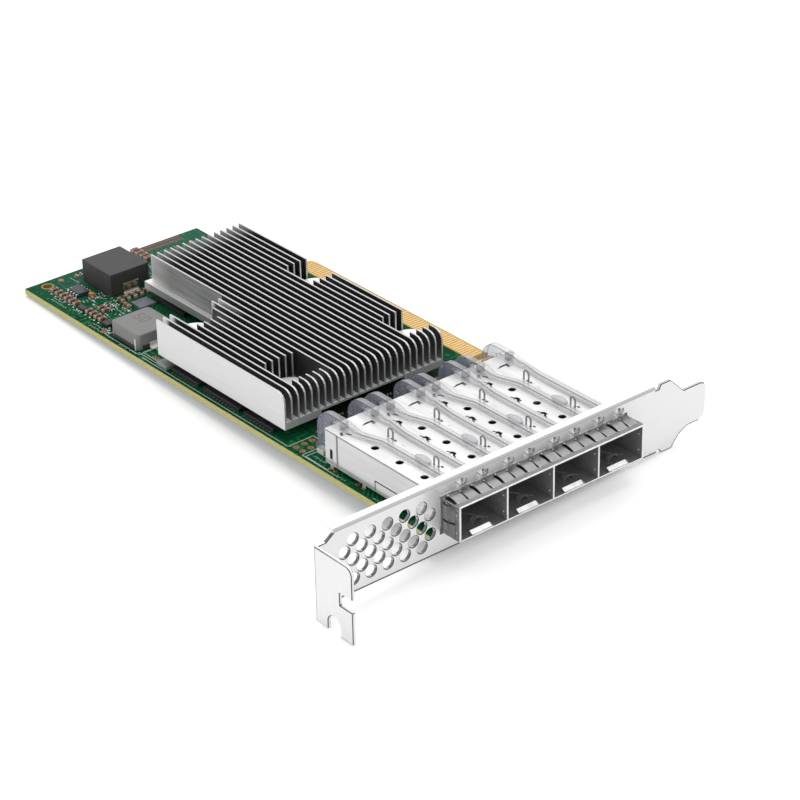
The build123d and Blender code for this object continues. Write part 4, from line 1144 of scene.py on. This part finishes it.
def add_pipe_clips():
    """Small clear hoops that hold the rods down and the pads they spring from."""
    hoops = bmesh.new()
    pads = bmesh.new()
    for start in port_starts():
        for offset in PIPE_REARS:
            y = start + offset
            add_block(pads, -39.7, -38.5, y - 0.9, y + 0.9, CAGE_TOP, ROD_LOW + 1.7)
        for x, y, reach, height in ((-28.3, 8.6, 0.85, 1.7), (-11.4, 8.3, 0.80, 1.6)):
            middle = Vector((x, start + y, CAGE_TOP + height))
            ring = bmesh.ops.create_circle(hoops, cap_ends=True, segments=8, radius=0.24,
                                           matrix=at(x - reach, start + y, CAGE_TOP + height))
            near = list({f for v in ring["verts"] for f in v.link_faces})
            bow = bmesh.ops.spin(hoops, geom=near, cent=middle, axis=(0, 1, 0),
                                 angle=math.radians(180), steps=10, use_duplicate=False)
            for end in (near, only_faces(bow["geom_last"])):
                leg = bmesh.ops.extrude_face_region(hoops, geom=end)["geom"]
                bmesh.ops.delete(hoops, geom=end, context="FACES_ONLY")
                bmesh.ops.translate(hoops, verts=only_verts(leg), vec=(0, 0, -height))
        pad = at(-15.2, start + 7.5, CAGE_TOP + 0.45) @ Matrix.Diagonal((2.7, 1.25, 0.6, 1))
        bmesh.ops.create_uvsphere(pads, u_segments=24, v_segments=12, radius=1.0, matrix=pad)
    bmesh.ops.recalc_face_normals(hoops, faces=hoops.faces)
    # The hoops take the painted shade of a rim all over.
    shade_smooth(add_piece("pipe_clips", hoops, "pipe_edge"), 50)
    shade_smooth(add_piece("pipe_pads", pads, "pipe_haze"), 50)


# Bracket

def finish_bracket():
    """The slot bracket: painted shade on its outlines, painted light and shade on its hole walls
    and painted shade on its fold.
    """
    mesh = copy_node("bracket")
    looks = ("bracket_steel", "sheared_edge", "hole_wall", "bend_shade", "rim_dark", "lit_edge")
    plain, shaded_edge, hole_wall, bend, rim, lit = range(len(looks))
    face_x = CARD.translation.x - 0.00002
    tab_y = (CARD @ Vector((0, BRACKET_NEAR + 0.02, 0))).y
    # Painted shade on the broken rims of the outer face and round the screw tab.
    for width, angle, index, where in ((0.00019, 35, rim, lambda point: point.x > face_x),
                                       (0.00026, 50, shaded_edge, lambda point: point.y < tab_y)):
        for face in bevel_sharp(mesh, width, 1, angle, False, where):
            face.material_index = index
    bevelled = set(bevel_sharp(mesh, 0.00010, 1, 50))
    for face in mesh.faces:
        x, y, z = CARD.inverted() @ face.calc_center_median()
        on_flange = z > 12.9 and -28.7 < y < 69.5
        in_hole = -31.0 < y < 2.0 and -4.1 < z < 13.0
        if on_flange:
            face.material_index = bend if face.normal.x > 0.5 and x > -1.5 else plain
        elif face.material_index == rim:
            if z > 9.0 and 0 < y < 62:
                face.material_index = plain
        # Other broken edges take painted shade.
        elif face in bevelled:
            face.material_index = shaded_edge
        # Inner walls of the sheet take painted light or painted shade by the way they face.
        elif -SHEET_T < x < 0 and abs(face.normal.x) < 0.5 and y > -32.7:
            shaded = face.normal.y < -0.25 and face.normal.z > -0.15
            if in_hole:
                face.material_index = hole_wall if shaded else lit
            else:
                face.material_index = lit if face.normal.z > 0.3 else shaded_edge
    add_looks(add_metre_piece("bracket_finished", mesh, looks[0], ["bracket"]), *looks[1:])


def add_face_stroke(mesh, start, end, width):
    """A fine stroke on the bracket's outer face between two Y and height points."""
    span = Vector((0, end[0] - start[0], end[1] - start[1]))
    place = at(0.012, (start[0] + end[0]) / 2, (start[1] + end[1]) / 2)
    turned = place @ Matrix.Rotation(math.atan2(span.z, span.y), 4, "X")
    add_bar(mesh, turned, 0.03, span.length, width)


def add_port_signs():
    """A hooked stroke and a small arrow by the ends of each port's light pipes."""
    mesh = bmesh.new()
    signs = (((6.65, 11.0), (7.45, 11.25)), ((7.45, 11.25), (7.6, 12.3)),
             ((13.0, 11.55), (14.0, 12.25)), ((14.0, 12.25), (13.85, 11.2)))
    for port_y in port_starts():
        for (y0, z0), (y1, z1) in signs:
            add_face_stroke(mesh, (port_y + y0, z0), (port_y + y1, z1), 0.22)
    add_piece("port_signs", mesh, "rim_dark")


def add_lower_outline():
    """A line of painted shade along the bracket's lower edge."""
    mesh = bmesh.new()
    low, far = BRACKET_LOW, FLANGE_FAR
    add_face_stroke(mesh, (-27.9, low + 0.20), (far + 0.7, low + 0.20), 0.36)
    outline = ((far + 2.9, low - 0.44), (far + 5.7, low - 0.44), (far + 8.1, -1.88),
               (far + 11.0, -0.38), (84.3, -0.38))
    for start, end in zip(outline, outline[1:]):
        add_face_stroke(mesh, start, end, 0.20)
    add_piece("bracket_lower_line", mesh, "rim_dark")


finish_bracket()
add_port_signs()
add_lower_outline()
finish_small_parts()
finish_cage()
add_chip_marks()
add_latches()
add_collar_top()
add_collar_side("collar_near", CAGE_NEAR, -1, "spring_strip_near")
add_collar_side("collar_far", CAGE_FAR, 1, "spring_strip_far")
add_cage_pressings()
for number in range(2 * PORTS):
    add_light_pipe(number)
add_pipe_clips()
print_silkscreen()
add_vias()
add_covered_vias()
add_resistors()

replaced = {node for piece in bpy.data.objects for node in piece.get("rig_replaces", [])}
for part in frame["record"]["subparts"]:
    if part["node"] not in replaced:
        dress(part["node"], part["material_slot"])
